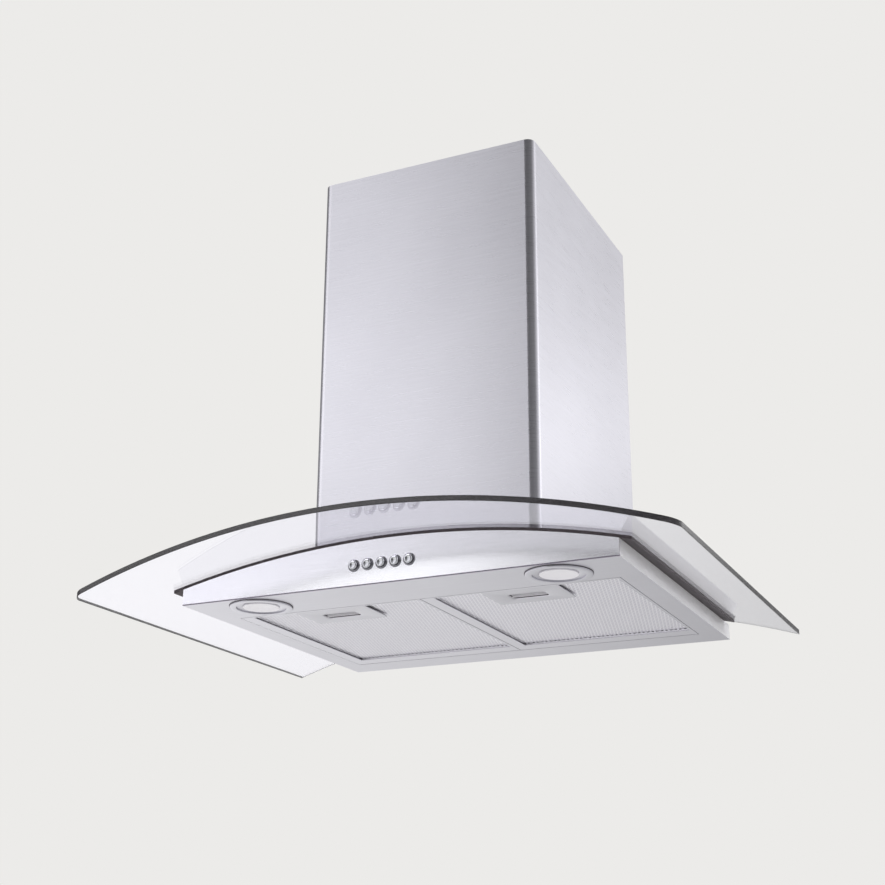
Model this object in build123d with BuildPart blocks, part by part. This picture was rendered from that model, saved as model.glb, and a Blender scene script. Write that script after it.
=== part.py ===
from build123d import *
from math import asin, cos, radians, sin, sqrt
import os

os.makedirs("parts", exist_ok=True)

# Curved glass range hood for a wall, in millimetres.
# +X is the right of someone facing the hood, +Y is back into the wall, +Z is up.
# The wall is the plane y = 0 and the flat underside of the body is z = 0.
# "Depth" is the distance forward of the wall, so a point at depth d has y = -d.

# ---------------------------------------------------------------- glass canopy
glass_width = 600.0
glass_thickness = 5.0
glass_bend_radius = 960.0  # of the underside, about an axis along Y
glass_mid_height = 46.0  # underside at the middle, above the body's underside
glass_front = 454.0  # depth of the front edge at the middle
glass_front_bow = 13.0  # how far the front corners fall back from the middle
glass_corner_radius = 12.0
glass_wall_gap = 4.0
glass_cutout_clearance = 2.0
glass_cutout_corner = 8.0

# ------------------------------------------------------------------------ body
body_width = 450.0
body_depth = 366.0
sheet = 1.0
fascia_fold = 5.0
fascia_bend = 0.9  # radius outside its lower bend
ledge_width = 6.0  # stop above the filters' edges
side_rim = 22.8  # underside panel left of and right of the filters
front_rim = 69.2
rear_rim = 39.0
seat_thickness = 3.0  # black strip that the glass lies on
seat_overhang = 11.0
seat_wall_gap = 20.0
plate_gap = 0.3  # between the black strip and the steel plate below it

# --------------------------------------------------------------------- filters
filter_thickness = 9.5
filter_gap = 0.8  # between the filters, and from them to the opening
hinge_gap = 1.3  # from the rear edge of the filter to the rim that its tabs lie on
filter_flange = 13.0  # on the left
filter_lip = 3.0  # on the right and in front
filter_rear_flange = 20.0
filter_skin = 0.8
net_recess = 1.7  # from the inside of the flanges up to the net
filter_clearance = 0.3
ledge_gap = 0.5  # above the filters
filter_tab_width = 24.0
filter_tab_spacing = 110.0
filter_tab_reach = 7.0
net_columns = 11
net_rows = 14
net_strand = 2.4
core_pleats = 16
core_sheet = 0.8
latch_width = 78.0
latch_depth = 51.0
latch_slot_width = 36.0
latch_slot_length = 17.0
latch_slot_rear = 16.0  # from the rear edge of the latch plate to the slot
latch_travel = 5.0
latch_cup_width = 51.6
latch_cup_height = 7.8
latch_plate_low = 2.0  # sliding plate of the handle
latch_lip_rear = 22.0  # from the rear edge of the latch plate to the finger lip
latch_rail = 4.5
tongue_width = 20.0
tongue_stand = 0.2  # tip of the tongue, in front of the filter
spring_wire = 0.25
spring_radius = 2.0
spring_turns = 6

# ----------------------------------------------------------------------- lamps
lamp_inset = 69.0  # lamp centre, in from the side of the body
lamp_margin = 3.6  # panel left in front of and behind the bezel
lamp_ring_width = 6.5
lamp_lens_radius = 18.0
bezel_thickness = 1.6
lamp_clearance = 0.2
lens_thickness = 2.0

# --------------------------------------------------------------------- buttons
button_names = ("light", "off", "low", "medium", "high")
button_pitch = 14.4
button_group_x = -6.0
button_height = 19.7
button_radius = 4.3
button_stand = 3.5  # how far the cap stands out of the fascia
button_length = 13.5
button_travel = 3.0
button_clearance = 0.3
button_bezel_width = 1.5
button_bezel_stand = 1.2
switch_depth = 22.0
switch_wall = 4.0
switch_ear = 8.0
switch_ear_thickness = 2.0

# --------------------------------------------------------------------- chimney
chimney_width = 246.0
chimney_depth = 294.0
chimney_top = 479.0
chimney_sheet = 1.0
chimney_corner = 9.0
chimney_return = 10.0
chimney_slide_gap = 0.6
upper_chimney_bottom = 175.0
upper_chimney_drop = 2.0  # top of the retracted inner chimney, below the outer one's
bracket_height = 20.0
bracket_sheet = 1.5
bracket_arm = 28.0
bracket_drop = 4.0  # below the top of the inner chimney
bracket_hole_radius = 3.0
bracket_hole_x = 60.0
glass_rest_gap = 0.3  # between the chimney's lower edge and the glass
lug_low = 62.0
lug_high = 80.0
lug_depth = 26.0

# ---------------------------------------------------------- blower and ducting
blower_sheet = 1.2
blower_top = 272.0
blower_front_gap = 32.0  # from the front of the box to the front of the chimney
blower_ear = 15.0
blower_ear_gap = 2.0
blower_flange_front = 13.0
airway_side_lip = 8.0
airway_front_lip = 12.0
airway_back = 34.0
airway_corner = 3.0
wall_hole_radius = 4.0
wall_hole_low = 100.0
wall_hole_high = 230.0

impeller_radius = 66.0
impeller_width = 100.0
impeller_height = 150.0
blade_count = 28
blade_depth = 12.0
blade_thickness = 1.2
blade_angle = 35.0
hub_radius = 9.0
hub_length = 16.0
scroll_width = 120.0
scroll_wall = 2.0
scroll_growth = 10.0
tongue_gap = 6.0
outlet_reach = 51.0  # outlet's rear wall, behind the impeller's axis
outlet_lip = 8.0
inlet_inset = 14.0
shaft_radius = 4.0
running_gap = 0.05
bush_radius = 7.0
bush_length = 12.0
motor_gap = 14.0
motor_front = 6.0
bracket_plate = 2.0
bracket_arm_width = 12.0

collar_radius = 75.0
collar_wall = 1.5
collar_flange = 9.0
collar_height = 60.0
flap_height = 18.0  # pin of the flaps, above the flange's underside
flap_thickness = 0.8
flap_clearance = 0.6
flap_seat_width = 3.0
flap_seat_gap = 0.3
pin_radius = 1.45
knuckle_radius = 2.2
knuckle_gap = 0.4
knuckle_span = 138.0

terminal_width = 64.0
terminal_depth = 22.0
terminal_height = 28.0
terminal_wall = 1.6
terminal_inset = 12.0  # from the left side of the blower box
terminal_drop = 14.0  # below its top
gland_radius = 8.0
gland_length = 16.0
gland_bore = 3.8
capacitor_radius = 11.0
capacitor_length = 60.0
capacitor_space = 22.0  # from the terminal box
capacitor_rim = 1.0
clip_sheet = 1.0
clip_width = 12.0

# ------------------------------------------------------------------- fasteners
screw_radius = 2.0
screw_hole_radius = 2.2
screw_head_radius = 4.0
screw_head_height = 2.4
screw_length = 12.0
small_screw_radius = 1.5
small_hole_radius = 1.7
small_head_radius = 2.8
small_head_height = 1.8
small_screw_length = 6.0
nut_height = 3.2
nut_radius = 4.0
nut_rest_gap = 0.01  # flat nut under a bent plate
bush_flange_radius = 6.0
bush_flange_height = 1.0
bush_barrel_radius = 4.0
washer_clearance = 0.2

# --------------------------------------------------------------- worked out
bend_centre = glass_mid_height - glass_bend_radius
body_half = body_width / 2
glass_half = glass_width / 2
seat_low = -seat_thickness
plate_high = seat_low - plate_gap
plate_low = plate_high - sheet

opening_half = body_half - side_rim
opening_back = rear_rim
opening_front = body_depth - front_rim
filter_inner = filter_gap / 2
filter_outer = opening_half - filter_gap
filter_width = filter_outer - filter_inner
filter_x = (filter_outer + filter_inner) / 2
filter_back = opening_back + hinge_gap
filter_front = opening_front - filter_gap
ledge_low = filter_thickness + ledge_gap

lamp_x = body_half - lamp_inset
lamp_depth = body_depth - front_rim / 2
lamp_flange_radius = front_rim / 2 - lamp_margin
lamp_ring_radius = lamp_flange_radius - lamp_ring_width
lamp_hole_radius = lamp_flange_radius - lamp_ring_width * 0.6
lamp_barrel_radius = lamp_hole_radius - lamp_clearance

chimney_half = chimney_width / 2
duct_depth = chimney_depth / 2
blower_front = chimney_depth - blower_front_gap
ear_half = chimney_half - chimney_return - blower_ear_gap
blower_half = ear_half - blower_ear
airway_half = blower_half - airway_side_lip
airway_front = blower_front - airway_front_lip
flange_low = glass_thickness + bush_flange_height
flange_high = flange_low + blower_sheet
flange_front = blower_front + blower_flange_front
glass_screw_x = blower_half + blower_ear / 2
glass_screw_depths = (airway_back / 2, blower_front + blower_flange_front / 2)

impeller_y = -(duct_depth - (impeller_radius + tongue_gap + 2.5 * scroll_growth - outlet_reach) / 2)
outlet_front = -impeller_y + impeller_radius + tongue_gap + 2.5 * scroll_growth
outlet_back = -impeller_y - outlet_reach
scroll_half = scroll_width / 2
impeller_half = impeller_width / 2
cage_radius = impeller_radius - blade_depth
inlet_radius = impeller_radius - inlet_inset
motor_radius = cage_radius - motor_gap

collar_inner = collar_radius - collar_wall
pin_height = blower_top + flap_height


def arc_height(x, offset=0.0):
    """Height at x of the glass's underside, moved outwards by offset."""
    return bend_centre + sqrt((glass_bend_radius + offset) ** 2 - x**2)


def bent_sheet(half_width, low, high, back, front, mode=Mode.ADD):
    """A sheet bent like the glass, between two offsets from the glass's underside."""
    with BuildSketch(Plane.XZ.offset(back)) as section:
        with BuildLine():
            lower = ThreePointArc(
                (-half_width, arc_height(half_width, low)),
                (0, arc_height(0, low)),
                (half_width, arc_height(half_width, low)),
            )
            upper = ThreePointArc(
                (-half_width, arc_height(half_width, high)),
                (0, arc_height(0, high)),
                (half_width, arc_height(half_width, high)),
            )
            Line(lower @ 0, upper @ 0)
            Line(lower @ 1, upper @ 1)
        make_face()
    extrude(section.sketch, amount=front - back, mode=mode)


def under_glass(half_width, low, offset, back, front, mode=Mode.ADD):
    """A block with a flat bottom and a top that follows the glass."""
    with BuildSketch(Plane.XZ.offset(back)) as section:
        with BuildLine():
            upper = ThreePointArc(
                (-half_width, arc_height(half_width, offset)),
                (0, arc_height(0, offset)),
                (half_width, arc_height(half_width, offset)),
            )
            Polyline(upper @ 0, (-half_width, low), (half_width, low), upper @ 1)
        make_face()
    extrude(section.sketch, amount=front - back, mode=mode)


def over_glass(half_width, offset, high, back, front, mode=Mode.ADD):
    """A block with a bottom that follows the glass and a flat top."""
    under_glass(half_width, high, offset, back, front, mode)


def block(left, right, back, front, low, high, mode=Mode.ADD):
    with BuildSketch(Plane.XY.offset(low)) as section:
        with Locations(((left + right) / 2, -(back + front) / 2)):
            Rectangle(right - left, front - back)
    extrude(section.sketch, amount=high - low, mode=mode)


def rod_x(radius, left, right, y, height, mode=Mode.ADD):
    with BuildSketch(Plane.YZ.offset(left)) as section:
        with Locations((y, height)):
            Circle(radius)
    extrude(section.sketch, amount=right - left, mode=mode)


def rod_y(radius, x, height, back, front, mode=Mode.ADD):
    with BuildSketch(Plane.XZ.offset(back)) as section:
        with Locations((x, height)):
            Circle(radius)
    extrude(section.sketch, amount=front - back, mode=mode)


def rod_z(radius, x, depth, low, high, mode=Mode.ADD):
    with BuildSketch(Plane.XY.offset(low)) as section:
        with Locations((x, -depth)):
            Circle(radius)
    extrude(section.sketch, amount=high - low, mode=mode)


def glass_screw_planes(offset):
    """Planes square to the bent glass at its four screws, at an offset from its underside."""
    angle = asin(glass_screw_x / glass_bend_radius)
    reach = glass_bend_radius + offset
    planes = []
    for side in (-1, 1):
        for depth in glass_screw_depths:
            planes.append(
                Plane(
                    origin=(side * reach * sin(angle), -depth, bend_centre + reach * cos(angle)),
                    x_dir=(cos(angle), 0, -side * sin(angle)),
                    z_dir=(side * sin(angle), 0, cos(angle)),
                )
            )
    return planes


def glass_screw_rods(radius, low, high, mode=Mode.ADD):
    """Round bars through the bent glass at its four screws, between two offsets."""
    for plane in glass_screw_planes(low):
        with BuildSketch(plane) as section:
            Circle(radius)
        extrude(section.sketch, amount=high - low, mode=mode)


def glass_screw_holes(radius, low, high):
    """Holes for the same screws. They run past the bent faces that they cut."""
    glass_screw_rods(radius, low - sheet / 2, high + sheet / 2, Mode.SUBTRACT)


def airway(margin, corner, low, high):
    """Cut the opening that the air takes from the body up to the blower."""
    with BuildSketch(Plane.XY.offset(low)) as section:
        with Locations((0, -(airway_back + airway_front) / 2)):
            RectangleRounded(
                2 * (airway_half + margin),
                airway_front - airway_back + 2 * margin,
                corner,
            )
    extrude(section.sketch, amount=high - low, mode=Mode.SUBTRACT)


# ------------------------------------------------------------------------ body

# Stainless body: underside panel, side walls and back. Three sides of the filter
# opening have a turned-up rim with a ledge that stops the filters.
with BuildPart() as canopy_shell:
    under_glass(body_half, 0, seat_low, 0, body_depth - sheet)
    block(sheet - body_half, body_half - sheet, sheet, body_depth, sheet, glass_mid_height, Mode.SUBTRACT)
    block(
        -opening_half - sheet,
        opening_half + sheet,
        opening_back,
        opening_front + sheet,
        0,
        ledge_low + sheet,
    )
    block(-opening_half, opening_half, opening_back, opening_front, 0, ledge_low, Mode.SUBTRACT)
    block(
        ledge_width - opening_half,
        opening_half - ledge_width,
        opening_back,
        opening_front - ledge_width,
        0,
        ledge_low + sheet,
        Mode.SUBTRACT,
    )
    for side in (-1, 1):
        rod_z(lamp_hole_radius, side * lamp_x, lamp_depth, 0, sheet, Mode.SUBTRACT)
canopy_shell.part.label = "canopy_shell"
export_step(canopy_shell.part, "parts/canopy_shell.step")

# Front plate, folded back at its ends and along its lower edge.
button_first = button_group_x - (len(button_names) - 1) / 2 * button_pitch
button_xs = [button_first + i * button_pitch for i in range(len(button_names))]
bezel_inner = button_radius + button_clearance
bezel_outer = bezel_inner + button_bezel_width
button_hole = (bezel_inner + bezel_outer) / 2
fold_back = body_depth - sheet - fascia_fold
fold_end = body_half - sheet
fold_top = arc_height(fold_end, plate_low)
with BuildPart() as fascia:
    under_glass(body_half, 0, seat_low, body_depth - sheet, body_depth)
    lower_edges = fascia.edges().filter_by(Axis.X).group_by(Axis.Z)[0]
    fillet(lower_edges.sort_by(Axis.Y)[0], fascia_bend)
    block(-fold_end, sheet - fold_end, fold_back, body_depth - sheet, sheet, fold_top)
    block(fold_end - sheet, fold_end, fold_back, body_depth - sheet, sheet, fold_top)
    block(-fold_end, fold_end, fold_back, body_depth - sheet, sheet, 2 * sheet)
    for x in button_xs:
        rod_y(button_hole, x, button_height, body_depth - sheet, body_depth, Mode.SUBTRACT)
fascia.part.label = "fascia"
export_step(fascia.part, "parts/fascia.step")

# Bent plate that closes the body under the glass.
with BuildPart() as top_plate:
    bent_sheet(body_half - sheet, plate_low, plate_high, sheet, body_depth - sheet)
    airway(0, airway_corner, 0, glass_mid_height + glass_thickness)
    glass_screw_holes(screw_hole_radius, plate_low, plate_high)
top_plate.part.label = "top_plate"
export_step(top_plate.part, "parts/top_plate.step")

# Black strip frame that the glass lies on. It stands out past the body's sides.
with BuildPart() as glass_seat:
    bent_sheet(body_half + seat_overhang, seat_low, 0, seat_wall_gap, body_depth)
    airway(glass_cutout_clearance, airway_corner, 0, glass_mid_height + glass_thickness)
    glass_screw_holes(screw_hole_radius, seat_low, 0)
glass_seat.part.label = "glass_seat"
export_step(glass_seat.part, "parts/glass_seat.step")

# ---------------------------------------------------------------- glass canopy

# Toughened glass, bent about an axis along Y, with a bowed front edge and
# rounded front corners.
with BuildPart() as glass_canopy:
    bent_sheet(glass_half, 0, glass_thickness, glass_wall_gap, glass_front)
    with BuildSketch(Plane.XY.offset(bend_centre)):
        with BuildLine():
            front_side = glass_front - glass_front_bow
            front_edge = ThreePointArc((-glass_half, -front_side), (0, -glass_front), (glass_half, -front_side))
            Polyline(
                front_edge @ 1,
                (glass_half, -glass_wall_gap),
                (-glass_half, -glass_wall_gap),
                front_edge @ 0,
            )
        make_face()
        corners = [v for v in vertices() if v.Y < -front_side / 2]
        fillet(corners, glass_corner_radius)
    extrude(amount=glass_bend_radius + glass_thickness + 1, mode=Mode.INTERSECT)
    airway(glass_cutout_clearance, glass_cutout_corner, 0, glass_mid_height + 2 * glass_thickness)
    glass_screw_holes(bush_barrel_radius + washer_clearance, 0, glass_thickness)
glass_canopy.part.label = "glass_canopy"
export_step(glass_canopy.part, "parts/glass_canopy.step")

# Nylon bushes that line the four screw holes and hold the blower box off the glass.
with BuildPart() as glass_bushes:
    glass_screw_rods(bush_barrel_radius, -sheet, flange_low)
    glass_screw_rods(bush_flange_radius, glass_thickness, flange_low + sheet)
    bent_sheet(glass_half, 0, flange_low, 0, flange_front, Mode.INTERSECT)
    glass_screw_holes(screw_hole_radius, 0, flange_low)
glass_bushes.part.label = "glass_bushes"
export_step(glass_bushes.part, "parts/glass_bushes.step")

nut_low = plate_low - nut_height - nut_rest_gap
with BuildPart() as glass_screws:
    glass_screw_rods(screw_radius, nut_low - sheet, flange_high)
    glass_screw_rods(screw_head_radius, flange_high, flange_high + screw_head_height)
glass_screws.part.label = "glass_screws"
export_step(glass_screws.part, "parts/glass_screws.step")

with BuildPart() as glass_nuts:
    for plane in glass_screw_planes(nut_low):
        with BuildSketch(plane):
            RegularPolygon(nut_radius, 6)
            Circle(screw_radius, mode=Mode.SUBTRACT)
        extrude(amount=nut_height)
glass_nuts.part.label = "glass_nuts"
export_step(glass_nuts.part, "parts/glass_nuts.step")

# --------------------------------------------------------------------- buttons

cap_back = body_depth + button_stand - button_length
for name, x in zip(button_names, button_xs):
    with BuildPart() as button:
        rod_y(button_radius, x, button_height, cap_back, body_depth + button_stand)
        front_rim_edge = button.edges().filter_by(GeomType.CIRCLE).sort_by(Axis.Y)[0]
        fillet(front_rim_edge, button_radius / 4)
    button.part.label = f"button_{name}"
    export_step(button.part, f"parts/button_{name}.step")

# Dark rings that line the button holes.
with BuildPart() as button_bezels:
    for x in button_xs:
        rod_y(button_hole - washer_clearance, x, button_height, body_depth - sheet, body_depth)
        rod_y(bezel_outer, x, button_height, body_depth, body_depth + button_bezel_stand)
        rod_y(
            bezel_inner,
            x,
            button_height,
            body_depth - sheet,
            body_depth + button_bezel_stand,
            Mode.SUBTRACT,
        )
button_bezels.part.label = "button_bezels"
export_step(button_bezels.part, "parts/button_bezels.step")

# Switch block behind the fascia, with a blind guide for each button.
switch_half = (button_xs[-1] - button_xs[0]) / 2 + bezel_inner + switch_wall
switch_front = body_depth - sheet
switch_ear_x = switch_half + switch_ear / 2
guide_back = cap_back - button_travel - button_clearance
with BuildPart() as switch_housing:
    block(
        button_group_x - switch_half,
        button_group_x + switch_half,
        switch_front - switch_depth,
        switch_front,
        button_height - bezel_inner - switch_wall,
        button_height + bezel_inner + switch_wall,
    )
    block(
        button_group_x - switch_half - switch_ear,
        button_group_x + switch_half + switch_ear,
        switch_front - switch_ear_thickness,
        switch_front,
        button_height - switch_ear / 2,
        button_height + switch_ear / 2,
    )
    for x in button_xs:
        rod_y(bezel_inner, x, button_height, guide_back, switch_front, Mode.SUBTRACT)
    for side in (-1, 1):
        rod_y(
            small_hole_radius,
            button_group_x + side * switch_ear_x,
            button_height,
            switch_front - switch_ear_thickness,
            switch_front,
            Mode.SUBTRACT,
        )
switch_housing.part.label = "switch_housing"
export_step(switch_housing.part, "parts/switch_housing.step")

ear_face = switch_front - switch_ear_thickness
with BuildPart() as switch_screws:
    for side in (-1, 1):
        x = button_group_x + side * switch_ear_x
        rod_y(small_screw_radius, x, button_height, ear_face, switch_front)
        rod_y(small_head_radius, x, button_height, ear_face - small_head_height, ear_face)
switch_screws.part.label = "switch_screws"
export_step(switch_screws.part, "parts/switch_screws.step")

# ----------------------------------------------------------------------- lamps

lens_ledge_radius = (lamp_lens_radius + lamp_ring_radius) / 2
lens_high = lens_thickness - bezel_thickness / 2
barrel_inner = lamp_barrel_radius - 2 * sheet
housing_radius = barrel_inner - lamp_clearance
housing_wall = 1.2
housing_high = arc_height(lamp_x + lamp_barrel_radius, plate_low) - 2 * sheet
barrel_high = housing_high / 3
board_radius = housing_radius - housing_wall
board_low = housing_high / 2
board_thickness = 1.6
chip_size = 8.0
for side, name in ((-1, "left"), (1, "right")):
    x = side * lamp_x

    # Stepped ring: a broad outer step, and an inner one that lies a little deeper.
    with BuildPart() as lamp_bezel:
        rod_z(lamp_flange_radius, x, lamp_depth, -bezel_thickness, 0)
        outer_rim = lamp_bezel.edges().filter_by(GeomType.CIRCLE).sort_by(Axis.Z)[0]
        chamfer(outer_rim, bezel_thickness / 2)
        rod_z(lamp_barrel_radius, x, lamp_depth, 0, barrel_high)
        rod_z(barrel_inner, x, lamp_depth, 0, barrel_high, Mode.SUBTRACT)
        rod_z(lamp_ring_radius, x, lamp_depth, -bezel_thickness, -bezel_thickness / 2, Mode.SUBTRACT)
        rod_z(lamp_lens_radius + lamp_clearance, x, lamp_depth, -bezel_thickness, 0, Mode.SUBTRACT)
    lamp_bezel.part.label = f"lamp_bezel_{name}"
    export_step(lamp_bezel.part, f"parts/lamp_bezel_{name}.step")

    with BuildPart() as lamp_lens:
        rod_z(lamp_lens_radius, x, lamp_depth, -bezel_thickness / 2, 0)
        rod_z(lens_ledge_radius, x, lamp_depth, 0, lens_high)
    lamp_lens.part.label = f"lamp_lens_{name}"
    export_step(lamp_lens.part, f"parts/lamp_lens_{name}.step")

    with BuildPart() as lamp_housing:
        rod_z(housing_radius, x, lamp_depth, lens_high, housing_high)
        rod_z(
            board_radius,
            x,
            lamp_depth,
            lens_high,
            housing_high - housing_wall,
            Mode.SUBTRACT,
        )
    lamp_housing.part.label = f"lamp_housing_{name}"
    export_step(lamp_housing.part, f"parts/lamp_housing_{name}.step")

with BuildPart() as led_boards:
    for side in (-1, 1):
        x = side * lamp_x
        rod_z(board_radius, x, lamp_depth, board_low, board_low + board_thickness)
        block(
            x - chip_size / 2,
            x + chip_size / 2,
            lamp_depth - chip_size / 2,
            lamp_depth + chip_size / 2,
            board_low - board_thickness / 2,
            board_low,
        )
led_boards.part.label = "led_boards"
export_step(led_boards.part, "parts/led_boards.step")

# --------------------------------------------------------------------- filters

# Each filter hangs on two tabs that lie on the rear rim of the opening, and
# swings down about that rim.
tab_low = sheet + filter_clearance
tab_back = opening_back - filter_tab_reach
mesh_back = filter_back + filter_rear_flange
mesh_front = filter_front - filter_lip
mesh_half = (filter_width - filter_flange - filter_lip) / 2
mesh_shift = (filter_flange - filter_lip) / 2  # its middle, right of the filter's
net_low = filter_skin + net_recess
net_high = net_low + filter_skin
core_low = net_high + 0.1
core_high = filter_thickness - filter_skin - 0.1 - core_sheet
core_half = filter_width / 2 - 2 * filter_skin
latch_back = mesh_front - latch_depth
slot_back = latch_back + latch_slot_rear
slot_front = slot_back + latch_slot_length
cup_back = latch_back + filter_skin
cup_half = latch_cup_width / 2
cup_inner_half = cup_half - filter_skin
cup_inner_back = cup_back + filter_skin
cup_inner_front = mesh_front - filter_skin
cup_inner_high = latch_cup_height - filter_skin
lip_back = latch_back + latch_lip_rear
lip_front = lip_back + blower_sheet
handle_high = latch_plate_low + blower_sheet
handle_half = latch_slot_width / 2 + latch_rail - 0.5
handle_back = lip_back - 2 * filter_skin * latch_travel
handle_front = cup_inner_front - filter_gap
window_front = slot_front + 1
tongue_half = tongue_width / 2
tongue_slot_half = tongue_half + filter_gap
tongue_slot_low = latch_plate_low - filter_clearance
tongue_slot_high = handle_high + filter_clearance
spring_z = tongue_slot_low + spring_radius
diamond_pitch_x = 2 * mesh_half / net_columns
diamond_pitch_y = (mesh_front - mesh_back) / net_rows
diamond_x = (diamond_pitch_x - net_strand * 1.25) / 2
diamond_y = (diamond_pitch_y - net_strand * 1.25) / 2


def diamond_places(middle):
    """Centres of the net's diamonds, in two sets that lie between each other."""
    places = []
    for shift in (0, 1):
        for column in range(net_columns - shift):
            for row in range(net_rows - shift):
                x = middle + mesh_shift - mesh_half + (column + 0.5 + shift / 2) * diamond_pitch_x
                depth = mesh_back + (row + 0.5 + shift / 2) * diamond_pitch_y
                beside_latch = abs(x - middle) > latch_width / 2 + diamond_x + filter_skin
                behind_latch = depth < latch_back - diamond_y - filter_skin
                if beside_latch or behind_latch:
                    places.append((x, -depth))
    return places


for side, name in ((-1, "left"), (1, "right")):
    middle = side * filter_x
    left = middle - filter_width / 2
    right = middle + filter_width / 2

    with BuildPart() as filter_frame:
        block(left, right, filter_back, filter_front, 0, filter_thickness)
        block(
            left + filter_skin,
            right - filter_skin,
            filter_back + filter_skin,
            filter_front - filter_skin,
            filter_skin,
            filter_thickness - filter_skin,
            Mode.SUBTRACT,
        )
        block(
            left + filter_flange,
            right - filter_lip,
            mesh_back,
            mesh_front,
            0,
            filter_thickness,
            Mode.SUBTRACT,
        )
        for tab_side in (-1, 1):
            tab_x = middle + tab_side * filter_tab_spacing / 2
            block(
                tab_x - filter_tab_width / 2,
                tab_x + filter_tab_width / 2,
                tab_back,
                filter_back + filter_skin,
                tab_low,
                tab_low + sheet,
            )
        block(
            middle - tongue_slot_half,
            middle + tongue_slot_half,
            filter_front - filter_skin,
            filter_front,
            tongue_slot_low,
            tongue_slot_high,
            Mode.SUBTRACT,
        )
    filter_frame.part.label = f"filter_frame_{name}"
    export_step(filter_frame.part, f"parts/filter_frame_{name}.step")

    # Expanded metal on the outer side, cut away round the latch.
    with BuildPart() as filter_net:
        with BuildSketch(Plane.XY.offset(net_low)):
            with Locations((middle, -(filter_back + filter_front) / 2)):
                Rectangle(
                    filter_width - 2 * filter_skin - filter_clearance,
                    filter_front - filter_back - 2 * filter_skin - filter_clearance,
                )
            with Locations((middle, -(latch_back + filter_front) / 2)):
                Rectangle(
                    latch_cup_width + filter_clearance,
                    filter_front - latch_back,
                    mode=Mode.SUBTRACT,
                )
            with Locations(diamond_places(middle)):
                Polygon(
                    (-diamond_x, 0),
                    (0, -diamond_y),
                    (diamond_x, 0),
                    (0, diamond_y),
                    mode=Mode.SUBTRACT,
                )
        extrude(amount=filter_skin)
    filter_net.part.label = f"filter_net_{name}"
    export_step(filter_net.part, f"parts/filter_net_{name}.step")

    # Pleated layer of fine metal mesh inside the frame.
    folds = []
    for i in range(2 * core_pleats + 1):
        fold_x = middle - core_half + i * core_half / core_pleats
        folds.append((fold_x, core_low if i % 2 == 0 else core_high))
    upper_folds = [(fold_x, fold_z + core_sheet) for fold_x, fold_z in reversed(folds)]
    with BuildPart() as filter_core:
        with BuildSketch(Plane.XZ.offset(filter_back + 2 * filter_skin)):
            with BuildLine():
                Polyline(*folds, *upper_folds, close=True)
            make_face()
        extrude(amount=filter_front - filter_back - 4 * filter_skin)
        block(
            middle - cup_half - filter_clearance,
            middle + cup_half + filter_clearance,
            latch_back,
            filter_front,
            0,
            filter_thickness,
            Mode.SUBTRACT,
        )
    filter_core.part.label = f"filter_core_{name}"
    export_step(filter_core.part, f"parts/filter_core_{name}.step")

    # Flat plate with the finger slot, and the cup above it that guides the handle.
    with BuildPart() as latch_plate:
        block(
            middle - latch_width / 2,
            middle + latch_width / 2,
            latch_back,
            mesh_front,
            0,
            filter_skin,
        )
        block(middle - cup_half, middle + cup_half, cup_back, mesh_front, filter_skin, latch_cup_height)
        block(
            middle - cup_inner_half,
            middle + cup_inner_half,
            cup_inner_back,
            cup_inner_front,
            filter_skin,
            cup_inner_high,
            Mode.SUBTRACT,
        )
        block(
            middle - latch_slot_width / 2,
            middle + latch_slot_width / 2,
            slot_back,
            slot_front,
            0,
            filter_skin,
            Mode.SUBTRACT,
        )
        block(
            middle - tongue_slot_half,
            middle + tongue_slot_half,
            cup_inner_front,
            mesh_front,
            tongue_slot_low,
            tongue_slot_high,
            Mode.SUBTRACT,
        )
    latch_plate.part.label = f"latch_plate_{name}"
    export_step(latch_plate.part, f"parts/latch_plate_{name}.step")

    # Sliding handle: a plate with a finger window, a lip to pull on, and a tongue
    # that runs out through the front of the frame.
    with BuildPart() as latch_handle:
        block(
            middle - handle_half,
            middle + handle_half,
            handle_back,
            handle_front,
            latch_plate_low,
            handle_high,
        )
        block(
            middle - latch_slot_width / 2 + filter_clearance,
            middle + latch_slot_width / 2 - filter_clearance,
            lip_front,
            window_front,
            latch_plate_low,
            handle_high,
            Mode.SUBTRACT,
        )
        block(
            middle - latch_slot_width / 2 + filter_clearance,
            middle + latch_slot_width / 2 - filter_clearance,
            lip_back,
            lip_front,
            filter_clearance,
            handle_high,
        )
        block(
            middle - tongue_half,
            middle + tongue_half,
            handle_front,
            filter_front + tongue_stand,
            latch_plate_low,
            handle_high,
        )
        block(
            middle - spring_radius * 2,
            middle + spring_radius * 2,
            handle_back,
            handle_back + blower_sheet,
            tongue_slot_low,
            spring_z + spring_radius,
        )
    latch_handle.part.label = f"latch_handle_{name}"
    export_step(latch_handle.part, f"parts/latch_handle_{name}.step")

    # Coil spring that pushes the handle forward again.
    coil_length = handle_back - cup_inner_back - 2 * spring_wire
    with BuildPart() as latch_spring:
        with BuildLine() as coil:
            Helix(
                pitch=coil_length / spring_turns,
                height=coil_length,
                radius=spring_radius,
                center=(middle, -(cup_inner_back + spring_wire), spring_z),
                direction=(0, -1, 0),
            )
        with BuildSketch(Plane(origin=coil.line @ 0, z_dir=coil.line % 0)):
            Circle(spring_wire)
        sweep(path=coil.line)
    latch_spring.part.label = f"latch_spring_{name}"
    export_step(latch_spring.part, f"parts/latch_spring_{name}.step")

# --------------------------------------------------------------------- chimney


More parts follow.
